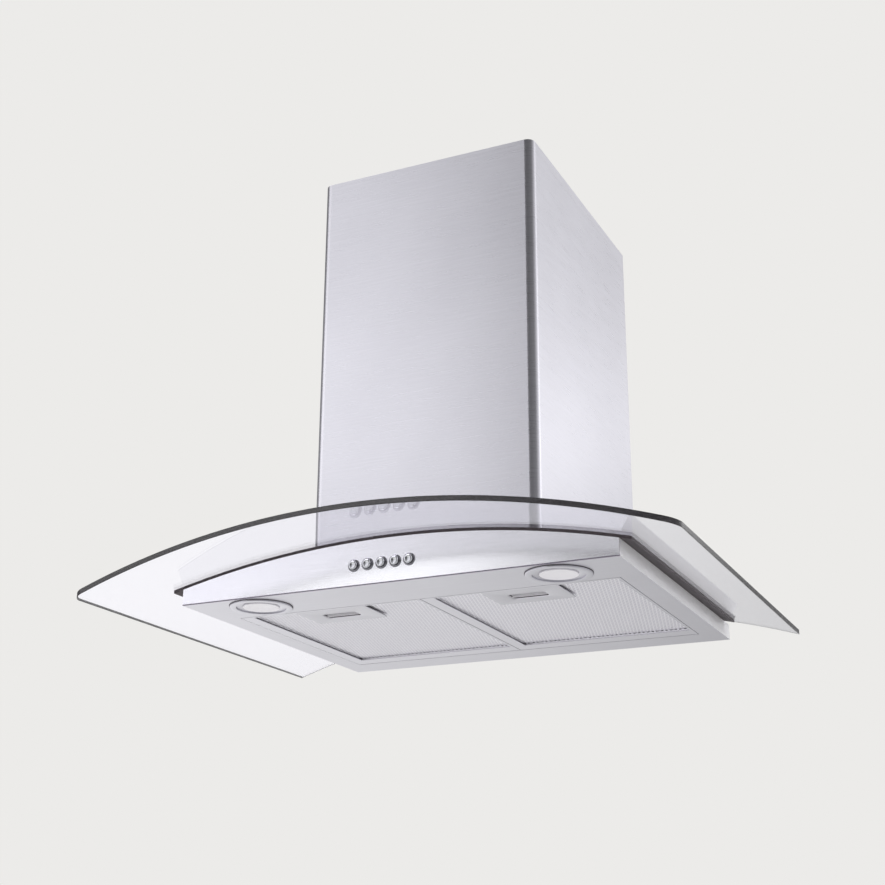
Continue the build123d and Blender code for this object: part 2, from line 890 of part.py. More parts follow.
def chimney_cover(half, back, front, corner, turn, low, high):
    """A cover of one folded sheet, open to the wall, with its rear edges turned in."""
    with BuildSketch(Plane.XY.offset(low)) as section:
        with Locations((0, -(back + front) / 2)):
            Rectangle(2 * half, front - back)
        front_corners = section.vertices().group_by(Axis.Y)[0]
        fillet(front_corners, corner)
        offset(amount=-chimney_sheet, mode=Mode.SUBTRACT)
        with Locations((0, -back - chimney_sheet / 2)):
            Rectangle(2 * (half - turn), 2 * chimney_sheet, mode=Mode.SUBTRACT)
    extrude(section.sketch, amount=high - low)


inner_half = chimney_half - chimney_sheet - chimney_slide_gap
inner_back = chimney_sheet + chimney_slide_gap
inner_front = chimney_depth - chimney_sheet - chimney_slide_gap
inner_turn = chimney_return - chimney_sheet - chimney_slide_gap
inner_top = chimney_top - upper_chimney_drop
chimney_screw_height = (lug_low + lug_high) / 2
lug_outer = chimney_half - chimney_sheet - glass_rest_gap
lug_screw_depth = blower_sheet + lug_depth / 2

# Lower cover. Its lower edge follows the glass.
with BuildPart() as lower_chimney:
    chimney_cover(chimney_half, 0, chimney_depth, chimney_corner, chimney_return, 0, chimney_top)
    under_glass(
        chimney_half + sheet,
        -glass_mid_height,
        glass_thickness + glass_rest_gap,
        -sheet,
        chimney_depth + sheet,
        Mode.SUBTRACT,
    )
    rod_x(
        screw_hole_radius,
        -chimney_half,
        chimney_half,
        -lug_screw_depth,
        chimney_screw_height,
        Mode.SUBTRACT,
    )
lower_chimney.part.label = "lower_chimney"
export_step(lower_chimney.part, "parts/lower_chimney.step")

bracket_high = inner_top - bracket_drop
bracket_low = bracket_high - bracket_height
bracket_half = inner_half - chimney_sheet - washer_clearance
bracket_back = inner_back + chimney_sheet + washer_clearance
bracket_front = bracket_back + bracket_arm
bracket_screw_depth = bracket_back + bracket_arm * 0.75
bracket_middle = (bracket_low + bracket_high) / 2

# Upper cover, pushed down inside the lower one.
with BuildPart() as upper_chimney:
    chimney_cover(
        inner_half,
        inner_back,
        inner_front,
        chimney_corner - chimney_sheet - chimney_slide_gap,
        inner_turn,
        upper_chimney_bottom,
        inner_top,
    )
    rod_x(
        small_hole_radius,
        -inner_half,
        inner_half,
        -bracket_screw_depth,
        bracket_middle,
        Mode.SUBTRACT,
    )
upper_chimney.part.label = "upper_chimney"
export_step(upper_chimney.part, "parts/upper_chimney.step")

# Bracket that holds the upper cover to the wall.
with BuildPart() as chimney_bracket:
    block(-bracket_half, bracket_half, bracket_back, bracket_front, bracket_low, bracket_high)
    block(
        bracket_sheet - bracket_half,
        bracket_half - bracket_sheet,
        bracket_back + bracket_sheet,
        bracket_front,
        bracket_low,
        bracket_high,
        Mode.SUBTRACT,
    )
    for side in (-1, 1):
        rod_y(
            bracket_hole_radius,
            side * bracket_hole_x,
            bracket_middle,
            bracket_back,
            bracket_back + bracket_sheet,
            Mode.SUBTRACT,
        )
    rod_x(
        small_hole_radius,
        -bracket_half,
        bracket_half,
        -bracket_screw_depth,
        bracket_middle,
        Mode.SUBTRACT,
    )
chimney_bracket.part.label = "chimney_bracket"
export_step(chimney_bracket.part, "parts/chimney_bracket.step")

bracket_inside = bracket_half - bracket_sheet
with BuildPart() as bracket_screws:
    rod_x(small_screw_radius, bracket_inside, inner_half, -bracket_screw_depth, bracket_middle)
    rod_x(
        small_head_radius,
        bracket_inside - small_head_height,
        bracket_inside,
        -bracket_screw_depth,
        bracket_middle,
    )
    mirror(about=Plane.YZ)
bracket_screws.part.label = "bracket_screws"
export_step(bracket_screws.part, "parts/bracket_screws.step")

with BuildPart() as chimney_screws:
    rod_x(
        screw_radius,
        chimney_half - screw_length,
        chimney_half,
        -lug_screw_depth,
        chimney_screw_height,
    )
    rod_x(
        screw_head_radius,
        chimney_half,
        chimney_half + screw_head_height,
        -lug_screw_depth,
        chimney_screw_height,
    )
    mirror(about=Plane.YZ)
chimney_screws.part.label = "chimney_screws"
export_step(chimney_screws.part, "parts/chimney_screws.step")

# -------------------------------------------------------------------- blower

lip_half = scroll_half + outlet_lip
scroll_screw_places = [
    (side * (scroll_half + outlet_lip / 2), -depth)
    for side in (-1, 1)
    for depth in (outlet_back - outlet_lip / 2, outlet_front + outlet_lip / 2)
]
collar_screw_radius = collar_radius + collar_flange / 2
box_ceiling = blower_top - blower_sheet


def scroll_screws_at(radius, low, high, mode=Mode.ADD):
    with BuildSketch(Plane.XY.offset(low)) as section:
        with Locations(scroll_screw_places):
            Circle(radius)
    extrude(section.sketch, amount=high - low, mode=mode)


def collar_screws_at(radius, low, high, mode=Mode.ADD):
    with BuildSketch(Plane.XY.offset(low)) as section:
        with Locations((0, -duct_depth)):
            with PolarLocations(collar_screw_radius, 4, start_angle=45):
                Circle(radius)
    extrude(section.sketch, amount=high - low, mode=mode)


# Steel box that hangs on the wall and carries everything: its flange clamps the
# glass to the body, its ears take the wall screws and its lugs hold the chimney.
with BuildPart() as blower_box:
    over_glass(blower_half, flange_low, blower_top, 0, blower_front)
    over_glass(
        blower_half - blower_sheet,
        flange_low - glass_thickness,
        box_ceiling,
        blower_sheet,
        blower_front - blower_sheet,
        Mode.SUBTRACT,
    )
    bent_sheet(ear_half, flange_low, flange_high, 0, flange_front)
    airway(0, airway_corner, 0, impeller_height)
    over_glass(ear_half, flange_low, blower_top, 0, blower_sheet)
    for side in (-1, 1):
        for height in (wall_hole_low, wall_hole_high):
            rod_y(wall_hole_radius, side * glass_screw_x, height, 0, blower_sheet, Mode.SUBTRACT)
    glass_screw_holes(screw_hole_radius, flange_low, flange_high)
    rod_z(collar_inner, 0, duct_depth, box_ceiling, blower_top, Mode.SUBTRACT)
    scroll_screws_at(screw_hole_radius, box_ceiling, blower_top, Mode.SUBTRACT)
    collar_screws_at(small_hole_radius, box_ceiling, blower_top, Mode.SUBTRACT)
    for side in (-1, 1):
        lug_start = side * (ear_half - blower_ear / 2)
        lug_end = side * lug_outer
        lug_face = side * (lug_outer - blower_sheet)
        block(
            min(lug_start, lug_end),
            max(lug_start, lug_end),
            blower_sheet,
            2 * blower_sheet,
            lug_low,
            lug_high,
        )
        block(
            min(lug_face, lug_end),
            max(lug_face, lug_end),
            blower_sheet,
            blower_sheet + lug_depth,
            lug_low,
            lug_high,
        )
    rod_x(
        screw_hole_radius,
        lug_outer - blower_sheet,
        lug_outer,
        -lug_screw_depth,
        chimney_screw_height,
        Mode.SUBTRACT,
    )
    rod_x(
        screw_hole_radius,
        -lug_outer,
        blower_sheet - lug_outer,
        -lug_screw_depth,
        chimney_screw_height,
        Mode.SUBTRACT,
    )
blower_box.part.label = "blower_box"
export_step(blower_box.part, "parts/blower_box.step")


def scroll_outline(inset, top):
    """Spiral of three quarter arcs that grow about a small square, with a straight
    outlet up to the given height, drawn inwards by an inset."""
    step = scroll_growth / 2
    radius = impeller_radius + tongue_gap - inset
    first = (impeller_y + step, impeller_height - step)
    second = (impeller_y - step, impeller_height - step)
    third = (impeller_y - step, impeller_height + step)
    rear = impeller_y + outlet_reach - inset
    tongue_rise = sqrt(radius**2 - (rear - first[0]) ** 2)
    tongue = (rear, first[1] + tongue_rise)
    half_turn = asin(tongue_rise / radius) / 2
    with BuildLine() as outline:
        ThreePointArc(
            tongue,
            (first[0] + radius * cos(half_turn), first[1] + radius * sin(half_turn)),
            (first[0] + radius, first[1]),
        )
        CenterArc(second, radius + scroll_growth, -90, 90)
        CenterArc(third, radius + 2 * scroll_growth, 180, 90)
        front = third[0] - radius - 2 * scroll_growth
        Polyline((front, third[1]), (front, top), (rear, top), tongue)
    make_face(outline.line)


# Scroll housing: the spiral that collects the air round the impeller.
with BuildPart() as scroll_housing:
    with BuildSketch(Plane.YZ.offset(-scroll_half)) as outside:
        scroll_outline(0, box_ceiling)
    extrude(outside.sketch, amount=scroll_width)
    block(
        -lip_half,
        lip_half,
        outlet_back - outlet_lip,
        outlet_front + outlet_lip,
        box_ceiling - scroll_wall,
        box_ceiling,
    )
    with BuildSketch(Plane.YZ.offset(scroll_wall - scroll_half)) as inside:
        scroll_outline(scroll_wall, box_ceiling)
    extrude(inside.sketch, amount=scroll_width - 2 * scroll_wall, mode=Mode.SUBTRACT)
    rod_x(inlet_radius, -scroll_half, scroll_half, impeller_y, impeller_height, Mode.SUBTRACT)
    scroll_screws_at(screw_hole_radius, box_ceiling - scroll_wall, box_ceiling, Mode.SUBTRACT)
    with BuildSketch(Plane.YZ.offset(-scroll_half)) as bracket_holes:
        with Locations((impeller_y, impeller_height)):
            with PolarLocations(inlet_radius + blade_depth / 3, 3, start_angle=90):
                Circle(small_hole_radius)
    extrude(bracket_holes.sketch, amount=scroll_wall, mode=Mode.SUBTRACT)
scroll_housing.part.label = "scroll_housing"
export_step(scroll_housing.part, "parts/scroll_housing.step")

with BuildPart() as scroll_screws:
    scroll_screws_at(screw_radius, blower_top - screw_length, blower_top)
    scroll_screws_at(screw_head_radius, blower_top, blower_top + screw_head_height)
scroll_screws.part.label = "scroll_screws"
export_step(scroll_screws.part, "parts/scroll_screws.step")

# Squirrel-cage impeller: leaning blades between two rings, and a disc with a hub
# that carries them by their inner edges.
blade_length = blade_depth - blade_thickness
blade_middle = impeller_radius - blade_depth / 2
blade_across = blade_length * cos(radians(blade_angle)) / 2 + blade_thickness / 2
disc_left = scroll_wall
disc_right = 2 * scroll_wall
with BuildPart() as impeller:
    for ring_left in (-impeller_half, impeller_half - scroll_wall):
        with BuildSketch(Plane.YZ.offset(ring_left)):
            with Locations((impeller_y, impeller_height)):
                Circle(impeller_radius)
                Circle(cage_radius, mode=Mode.SUBTRACT)
        extrude(amount=scroll_wall)
    rod_x(blade_middle - blade_across, disc_left, disc_right, impeller_y, impeller_height)
    rod_x(hub_radius, 0, hub_length, impeller_y, impeller_height)
    rod_x(shaft_radius, 0, hub_length, impeller_y, impeller_height, Mode.SUBTRACT)
impeller.part.label = "impeller"
export_step(impeller.part, "parts/impeller.step")

with BuildPart() as impeller_blades:
    with BuildSketch(Plane.YZ.offset(scroll_wall - impeller_half)):
        with Locations((impeller_y, impeller_height)):
            with PolarLocations(blade_middle, blade_count):
                Rectangle(blade_length, blade_thickness, rotation=blade_angle)
    extrude(amount=impeller_width - 2 * scroll_wall)
impeller_blades.part.label = "impeller_blades"
export_step(impeller_blades.part, "parts/impeller_blades.step")

bracket_face = -scroll_half - bracket_plate
with BuildPart() as motor_shaft:
    rod_x(shaft_radius, bracket_face, hub_length, impeller_y, impeller_height)
motor_shaft.part.label = "motor_shaft"
export_step(motor_shaft.part, "parts/motor_shaft.step")

motor_screw_radius = motor_radius * 0.7
with BuildPart() as motor_body:
    rod_x(motor_radius, -scroll_half, -motor_front, impeller_y, impeller_height)
    motor_rims = motor_body.edges().filter_by(GeomType.CIRCLE)
    chamfer(motor_rims, scroll_wall)
    rod_x(bush_radius, -scroll_half, -motor_front, impeller_y, impeller_height, Mode.SUBTRACT)
    with BuildSketch(Plane.YZ.offset(-scroll_half)):
        with Locations((impeller_y, impeller_height)):
            with PolarLocations(motor_screw_radius, 3, start_angle=90):
                Circle(small_hole_radius)
    extrude(amount=small_screw_length, mode=Mode.SUBTRACT)
motor_body.part.label = "motor_body"
export_step(motor_body.part, "parts/motor_body.step")

with BuildPart() as shaft_bushes:
    for bush_left in (-scroll_half, -motor_front - bush_length):
        rod_x(bush_radius, bush_left, bush_left + bush_length, impeller_y, impeller_height)
    rod_x(
        shaft_radius + running_gap,
        -scroll_half,
        -motor_front,
        impeller_y,
        impeller_height,
        Mode.SUBTRACT,
    )
shaft_bushes.part.label = "shaft_bushes"
export_step(shaft_bushes.part, "parts/shaft_bushes.step")

# Three-armed bracket that holds the motor in the scroll's left inlet.
arm_reach = inlet_radius + blade_depth * 2 / 3
with BuildPart() as motor_bracket:
    with BuildSketch(Plane.YZ.offset(bracket_face)):
        with Locations((impeller_y, impeller_height)):
            Circle(motor_radius - scroll_wall)
            with PolarLocations(arm_reach / 2, 3, start_angle=90):
                Rectangle(arm_reach, bracket_arm_width)
            Circle(motor_radius / 2, mode=Mode.SUBTRACT)
            with PolarLocations(inlet_radius + blade_depth / 3, 3, start_angle=90):
                Circle(small_hole_radius, mode=Mode.SUBTRACT)
            with PolarLocations(motor_screw_radius, 3, start_angle=90):
                Circle(small_hole_radius, mode=Mode.SUBTRACT)
    extrude(amount=bracket_plate)
motor_bracket.part.label = "motor_bracket"
export_step(motor_bracket.part, "parts/motor_bracket.step")

with BuildPart() as motor_screws:
    for radius in (inlet_radius + blade_depth / 3, motor_screw_radius):
        with BuildSketch(Plane.YZ.offset(bracket_face)):
            with Locations((impeller_y, impeller_height)):
                with PolarLocations(radius, 3, start_angle=90):
                    Circle(small_screw_radius)
        extrude(amount=small_screw_length)
        with BuildSketch(Plane.YZ.offset(bracket_face - small_head_height)):
            with Locations((impeller_y, impeller_height)):
                with PolarLocations(radius, 3, start_angle=90):
                    Circle(small_head_radius)
        extrude(amount=small_head_height)
motor_screws.part.label = "motor_screws"
export_step(motor_screws.part, "parts/motor_screws.step")

# ------------------------------------------------------------------ duct collar

seat_ring_high = pin_height - flap_thickness / 2 - flap_seat_gap
with BuildPart() as duct_collar:
    rod_z(collar_radius + collar_flange, 0, duct_depth, blower_top, blower_top + collar_wall)
    rod_z(collar_radius, 0, duct_depth, blower_top, blower_top + collar_height)
    rod_z(
        collar_inner,
        0,
        duct_depth,
        blower_top,
        blower_top + collar_height,
        Mode.SUBTRACT,
    )
    with BuildSketch(Plane.XY.offset(seat_ring_high - sheet)):
        with Locations((0, -duct_depth)):
            Circle(collar_radius - collar_wall / 2)
            Circle(collar_inner - flap_seat_width, mode=Mode.SUBTRACT)
    extrude(amount=sheet)
    rod_y(
        pin_radius + running_gap,
        0,
        pin_height,
        duct_depth - collar_radius + collar_wall / 2,
        duct_depth + collar_radius - collar_wall / 2,
        Mode.SUBTRACT,
    )
    collar_screws_at(small_hole_radius, blower_top, blower_top + collar_wall, Mode.SUBTRACT)
duct_collar.part.label = "duct_collar"
export_step(duct_collar.part, "parts/duct_collar.step")

collar_screw_face = blower_top + collar_wall
with BuildPart() as collar_screws:
    collar_screws_at(small_screw_radius, collar_screw_face - small_screw_length, collar_screw_face)
    collar_screws_at(small_head_radius, collar_screw_face, collar_screw_face + small_head_height)
collar_screws.part.label = "collar_screws"
export_step(collar_screws.part, "parts/collar_screws.step")

pin_reach = collar_radius - collar_wall / 2 - running_gap
with BuildPart() as damper_pin:
    rod_y(pin_radius, 0, pin_height, duct_depth - pin_reach, duct_depth + pin_reach)
damper_pin.part.label = "damper_pin"
export_step(damper_pin.part, "parts/damper_pin.step")

# Two half-round flaps that the air lifts and that fall shut again. Their
# knuckles take turns along the pin.
flap_radius = collar_inner - flap_clearance
flap_start = knuckle_radius + knuckle_gap
knuckle_step = knuckle_span / 6
for side, name, first in ((-1, "left", 0), (1, "right", 1)):
    with BuildPart() as flap:
        with BuildSketch(Plane.XY.offset(pin_height - flap_thickness / 2)):
            with Locations((0, -duct_depth)):
                Circle(flap_radius)
            with Locations((side * (flap_start + flap_radius / 2), -duct_depth)):
                Rectangle(flap_radius, 2 * flap_radius, mode=Mode.INTERSECT)
        extrude(amount=flap_thickness)
        for knuckle in range(first, 6, 2):
            knuckle_back = duct_depth - knuckle_span / 2 + knuckle * knuckle_step + knuckle_gap / 2
            knuckle_front = knuckle_back + knuckle_step - knuckle_gap
            web = side * (flap_start + knuckle_gap)
            block(
                min(0, web),
                max(0, web),
                knuckle_back,
                knuckle_front,
                pin_height - flap_thickness / 2,
                pin_height + flap_thickness / 2,
            )
            rod_y(knuckle_radius, 0, pin_height, knuckle_back, knuckle_front)
        rod_y(
            pin_radius + running_gap,
            0,
            pin_height,
            duct_depth - flap_radius,
            duct_depth + flap_radius,
            Mode.SUBTRACT,
        )
    flap.part.label = f"damper_flap_{name}"
    export_step(flap.part, f"parts/damper_flap_{name}.step")

# ----------------------------------------------------------------- electrical

# All of it is fixed to the front of the blower box, inside the chimney.
terminal_left = terminal_inset - blower_half
terminal_right = terminal_left + terminal_width
terminal_front = blower_front + terminal_depth
terminal_mouth = terminal_front - terminal_wall
terminal_high = blower_top - terminal_drop
terminal_low = terminal_high - terminal_height
gland_x = (terminal_left + terminal_right) / 2
gland_depth = (blower_front + terminal_front) / 2
gland_thread = gland_radius - terminal_wall
gland_low = terminal_high - 2 * terminal_wall
gland_flange_high = terminal_high + gland_length / 3

# Junction box for the mains, open to the front and with the lead's inlet on top.
with BuildPart() as terminal_box:
    block(terminal_left, terminal_right, blower_front, terminal_mouth, terminal_low, terminal_high)
    block(
        terminal_left + terminal_wall,
        terminal_right - terminal_wall,
        blower_front + terminal_wall,
        terminal_mouth,
        terminal_low + terminal_wall,
        terminal_high - terminal_wall,
        Mode.SUBTRACT,
    )
    rod_z(
        gland_thread,
        gland_x,
        gland_depth,
        terminal_high - terminal_wall,
        terminal_high,
        Mode.SUBTRACT,
    )
terminal_box.part.label = "terminal_box"
export_step(terminal_box.part, "parts/terminal_box.step")

with BuildPart() as terminal_lid:
    block(terminal_left, terminal_right, terminal_mouth, terminal_front, terminal_low, terminal_high)
terminal_lid.part.label = "terminal_lid"
export_step(terminal_lid.part, "parts/terminal_lid.step")

# Inlet for the mains lead: a thread, a flange and a domed nut.
with BuildPart() as cable_gland:
    rod_z(gland_thread, gland_x, gland_depth, gland_low, terminal_high)
    rod_z(gland_radius, gland_x, gland_depth, terminal_high, gland_flange_high)
    with BuildSketch(Plane.XY.offset(gland_flange_high)):
        with Locations((gland_x, -gland_depth)):
            Circle(gland_thread)
    extrude(amount=gland_length * 2 / 3, taper=8)
    rod_z(
        gland_bore,
        gland_x,
        gland_depth,
        gland_low,
        terminal_high + gland_length,
        Mode.SUBTRACT,
    )
cable_gland.part.label = "cable_gland"
export_step(cable_gland.part, "parts/cable_gland.step")

capacitor_left = terminal_right + capacitor_space
capacitor_depth = blower_front + clip_sheet + capacitor_radius
capacitor_height = (terminal_low + terminal_high) / 2
with BuildPart() as capacitor:
    rod_x(
        capacitor_radius,
        capacitor_left,
        capacitor_left + capacitor_length,
        -capacitor_depth,
        capacitor_height,
    )
    capacitor_rims = capacitor.edges().filter_by(GeomType.CIRCLE)
    fillet(capacitor_rims, capacitor_rim)
capacitor.part.label = "capacitor"
export_step(capacitor.part, "parts/capacitor.step")

clip_left = capacitor_left + (capacitor_length - clip_width) / 2
clip_right = clip_left + clip_width
with BuildPart() as capacitor_clip:
    rod_x(
        capacitor_radius + clip_sheet,
        clip_left,
        clip_right,
        -capacitor_depth,
        capacitor_height,
    )
    block(
        clip_left,
        clip_right,
        blower_front,
        blower_front + clip_sheet,
        capacitor_height - capacitor_radius,
        capacitor_height + capacitor_radius,
    )
    rod_x(
        capacitor_radius,
        clip_left,
        clip_right,
        -capacitor_depth,
        capacitor_height,
        Mode.SUBTRACT,
    )
capacitor_clip.part.label = "capacitor_clip"
export_step(capacitor_clip.part, "parts/capacitor_clip.step")
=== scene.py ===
# %% [markdown]
# # A curved glass range hood
#
# The hood is already built as solids, and this script dresses them. Each cell makes one
# piece or one finish. Lengths are metres, +X is the right of someone facing the hood,
# +Y goes back into the wall and +Z is up. The wall is y = 0 and the flat underside is z = 0.

# %% Load the solids as a fixed frame
import math
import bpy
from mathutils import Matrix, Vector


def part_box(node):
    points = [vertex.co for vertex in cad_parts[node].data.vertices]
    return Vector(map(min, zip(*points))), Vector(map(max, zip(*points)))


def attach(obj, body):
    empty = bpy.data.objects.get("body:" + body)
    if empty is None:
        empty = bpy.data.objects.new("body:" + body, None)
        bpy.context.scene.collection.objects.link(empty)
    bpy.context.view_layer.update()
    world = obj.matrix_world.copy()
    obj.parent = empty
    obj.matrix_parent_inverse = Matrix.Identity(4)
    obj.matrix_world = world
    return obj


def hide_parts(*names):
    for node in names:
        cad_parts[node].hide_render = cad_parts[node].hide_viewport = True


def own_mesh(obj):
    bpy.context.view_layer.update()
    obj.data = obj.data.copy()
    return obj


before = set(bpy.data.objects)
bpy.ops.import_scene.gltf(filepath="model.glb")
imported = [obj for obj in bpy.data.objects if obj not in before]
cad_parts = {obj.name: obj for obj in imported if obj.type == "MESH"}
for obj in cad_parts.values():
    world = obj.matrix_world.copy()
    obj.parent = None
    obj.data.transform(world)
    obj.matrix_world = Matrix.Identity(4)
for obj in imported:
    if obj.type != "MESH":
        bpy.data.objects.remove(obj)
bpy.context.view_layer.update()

from fnmatch import fnmatch

import bmesh
import bpy
from mathutils import Matrix, Vector

MM = 0.001

# %% [markdown]
# ## Places that later cells need
#
# Everything below is read from the solids' own boxes, so a dressed piece always lands
# where its solid is.

# %% Read the main sizes
glass_low, glass_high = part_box("glass_canopy")
fascia_low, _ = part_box("fascia")
FRONT = fascia_low.y
SIDES = ("left", "right")
BUTTONS = ("light", "off", "low", "medium", "high")
print("glass", [round(v / MM) for v in glass_high - glass_low], "mm")

# %% [markdown]
# ## Colour
#
# Colours are written the way a colour picker shows them, as sRGB hex. Blender's shaders
# work in linear light, so one function converts them.


# %% A colour converter
def linear(hex_code):
    """sRGB "#RRGGBB" as a linear RGBA tuple."""
    values = [int(hex_code[i : i + 2], 16) / 255 for i in (1, 3, 5)]
    light = [v / 12.92 if v <= 0.04045 else ((v + 0.055) / 1.055) ** 2.4 for v in values]
    return (*light, 1.0)


print("mid grey is", round(linear("#808080")[0], 3), "in linear light")

# %% [markdown]
# ## How a material is put together
#
# A finish is a Principled shader with a few nodes in front of it. Four small helpers are
# enough: one starts a material, one links sockets, one adds a node with its settings and
# its links, and one adds a pattern that is measured in metres.


# %% Material helpers
def start_material(name, colour, **sockets):
    """A new material: its node tree and its Principled shader, with plain values set."""
    material = bpy.data.materials.new(name)
    material.use_nodes = True
    tree = material.node_tree
    shader = tree.nodes["Principled BSDF"]
    shader.inputs["Base Color"].default_value = linear(colour)
    for socket, value in sockets.items():
        shown = socket.replace("_", " ").title().replace("Ior", "IOR")
        shader.inputs[shown].default_value = value
    return material, tree, shader


def feed(tree, node, links):
    """Link sources into a node's sockets."""
    for socket, source in links.items():
        tree.links.new(source, node.inputs[socket])


def add(tree, kind, values=None, links=None, stops=(), **settings):
    """One node: its attributes, socket values, incoming links and colour stops."""
    node = tree.nodes.new(kind)
    for name, value in settings.items():
        setattr(node, name, value)
    for socket, value in (values or {}).items():
        node.inputs[socket].default_value = value
    feed(tree, node, links or {})
    if stops:
        elements = node.color_ramp.elements
        while len(elements) < len(stops):
            elements.new(0.5)
        for element, (position, _) in zip(elements, stops):
            element.position = position
        for element, (_, colour) in zip(elements, stops):
            element.color = colour
    return node


def pattern(tree, kind, size, output="Fac", **values):
    """A texture whose unit has a size in metres along X, Y and Z."""
    at = add(tree, "ShaderNodeTexCoord").outputs["Object"]
    scale = {"Scale": tuple(1 / s for s in size)}
    measured = {"Vector": add(tree, "ShaderNodeMapping", scale, {"Vector": at}).outputs["Vector"]}
    return add(tree, kind, {"Scale": 1.0, **values}, measured).outputs[output]


print("material helpers: start_material, feed, add, pattern")

# %% [markdown]
# ## Brushed stainless steel
#
# The body and the chimney are AISI 430 stainless sheet with a number 4 finish: a belt
# drags fine parallel scratches across it. The scratches show as long soft streaks, and
# they spread each reflection across the grain. Noise that is stretched along the grain
# gives both: it bumps the surface, and it shifts the roughness and the tone a little.
# Real scratches are about 0.05 mm apart. They are drawn 0.9 mm apart, to show at all.


# %% Brushed steel
GRAIN_WIDTH = 0.9 * MM
GRAIN_LENGTH = 45 * MM
CLOUD = 90 * MM
CLOUD_SHARE = 0.25
GRAIN_GLOSS = 0.06


def brushed_steel(name, dark, light, across, roughness):
    """Steel with its grain square to the row axis "across" ("y" or "z")."""
    material, tree, shader = start_material(name, light, metallic=1.0, roughness=roughness)
    size = [GRAIN_LENGTH] * 3
    size["xyz".index(across)] = GRAIN_WIDTH
    streaks = pattern(tree, "ShaderNodeTexNoise", size, Detail=4.0, Roughness=0.65)
    clouds = pattern(tree, "ShaderNodeTexNoise", [CLOUD] * 3, Detail=2.0)
    both = {"A": streaks, "B": clouds}
    mixed = add(tree, "ShaderNodeMix", {"Factor": CLOUD_SHARE}, both, data_type="FLOAT")
    tones = ((0.3, linear(dark)), (0.7, linear(light)))
    tone = add(tree, "ShaderNodeValToRGB", links={"Fac": mixed.outputs["Result"]}, stops=tones)
    gloss = {"To Min": roughness - GRAIN_GLOSS, "To Max": roughness + GRAIN_GLOSS}
    spread = add(tree, "ShaderNodeMapRange", gloss, {"Value": streaks})
    scratch = {"Strength": 0.12, "Distance": 0.1 * MM}
    bump = add(tree, "ShaderNodeBump", scratch, {"Height": streaks})
    feed(tree, shader, {"Base Color": tone.outputs["Color"], "Roughness": spread.outputs["Result"]})
    feed(tree, shader, {"Normal": bump.outputs["Normal"]})
    print(name, "grain", GRAIN_WIDTH / MM, "mm")
    return material


chimney_steel = brushed_steel("chimney_brushed_steel", "#C5C4CC", "#D4D3DB", "z", roughness=0.29)
body_steel = brushed_steel("body_brushed_steel", "#D0CFD5", "#DCDBE1", "y", roughness=0.4)
fascia_steel = brushed_steel("fascia_brushed_steel", "#E4E4EA", "#F0F0F5", "z", roughness=0.21)

# %% [markdown]
# The body's side walls get painted light. Where the sheet's normal says a face is a side
# wall, the metal gives way to a pale coat that scatters light much more than it mirrors
# it, so the walls show evenly bright, as if lit.

# %% Side walls painted light
body_tree = body_steel.node_tree
body_shader = body_tree.nodes["Principled BSDF"]
body_tone = body_shader.inputs["Base Color"].links[0].from_socket
body_normal = add(body_tree, "ShaderNodeTexCoord").outputs["Normal"]
across_body = add(body_tree, "ShaderNodeSeparateXYZ", links={"Vector": body_normal}).outputs["X"]
sideways = add(body_tree, "ShaderNodeMath", links={0: across_body}, operation="ABSOLUTE").outputs[0]
wall_faces = {"From Min": 0.6, "From Max": 0.9}
satin = add(body_tree, "ShaderNodeMapRange", wall_faces, {"Value": sideways}).outputs["Result"]
metal_left = {"To Min": 1.0, "To Max": 0.05}
bare_metal = add(body_tree, "ShaderNodeMapRange", metal_left, {"Value": satin}).outputs["Result"]
two_skins = {"Factor": satin, 6: body_tone}
# painted light: side walls take a near-white coat in place of the steel's tone
coated = add(body_tree, "ShaderNodeMix", {7: linear("#FAFAFD")}, two_skins, data_type="RGBA").outputs[2]
feed(body_tree, body_shader, {"Metallic": bare_metal, "Base Color": coated})
print("side walls keep", metal_left["To Max"], "of the metal")

# %% [markdown]
# The fascia's lower edge is folded. The fold turns away from the light, and that shade is
# painted into the colour as one thin darker line along the underside.

# %% Painted shade along the fascia's fold
FOLD = 0.9 * MM
FOLD_END = 1.3
fascia_tree = fascia_steel.node_tree
fascia_shader = fascia_tree.nodes["Principled BSDF"]
fascia_tone = fascia_shader.inputs["Base Color"].links[0].from_socket
fascia_at = add(fascia_tree, "ShaderNodeTexCoord").outputs["Object"]
up_fascia = add(fascia_tree, "ShaderNodeSeparateXYZ", links={"Vector": fascia_at}).outputs["Z"]
fold_line = {"From Min": fascia_low.z + FOLD, "From Max": fascia_low.z + FOLD * FOLD_END}
past_fold = add(fascia_tree, "ShaderNodeMapRange", fold_line, {"Value": up_fascia}).outputs["Result"]
two_tones = {"Factor": past_fold, 7: fascia_tone}
# painted shade: below the fold height the fascia's colour turns dark
folded = add(fascia_tree, "ShaderNodeMix", {6: linear("#7F7886")}, two_tones, data_type="RGBA").outputs[2]
feed(fascia_tree, fascia_shader, {"Base Color": folded})
print("the fold is", FOLD / MM, "mm high")

# %% [markdown]
# ## Galvanised sheet
#
# Inside, the sheet is hot-dip galvanised. Zinc freezes in flat crystals, so the surface
# breaks into spangles some millimetres wide that each reflect a little differently.
# Voronoi cells are that pattern: one random value for each cell.


# %% Galvanised sheet
SPANGLE = 9 * MM


def galvanised(name, dark, light):
    material, tree, shader = start_material(name, light, metallic=1.0, roughness=0.42)
    cells = pattern(tree, "ShaderNodeTexVoronoi", [SPANGLE] * 3, "Color", Randomness=1.0)
    tones = ((0.0, linear(dark)), (1.0, linear(light)))
    tone = add(tree, "ShaderNodeValToRGB", links={"Fac": cells}, stops=tones)
    spread = add(tree, "ShaderNodeMapRange", {"To Min": 0.34, "To Max": 0.5}, {"Value": cells})
    feed(tree, shader, {"Base Color": tone.outputs["Color"], "Roughness": spread.outputs["Result"]})
    return material


zinc_sheet = galvanised("galvanised_sheet", "#A9ACB0", "#BEC1C4")
print("spangles are", SPANGLE / MM, "mm wide")

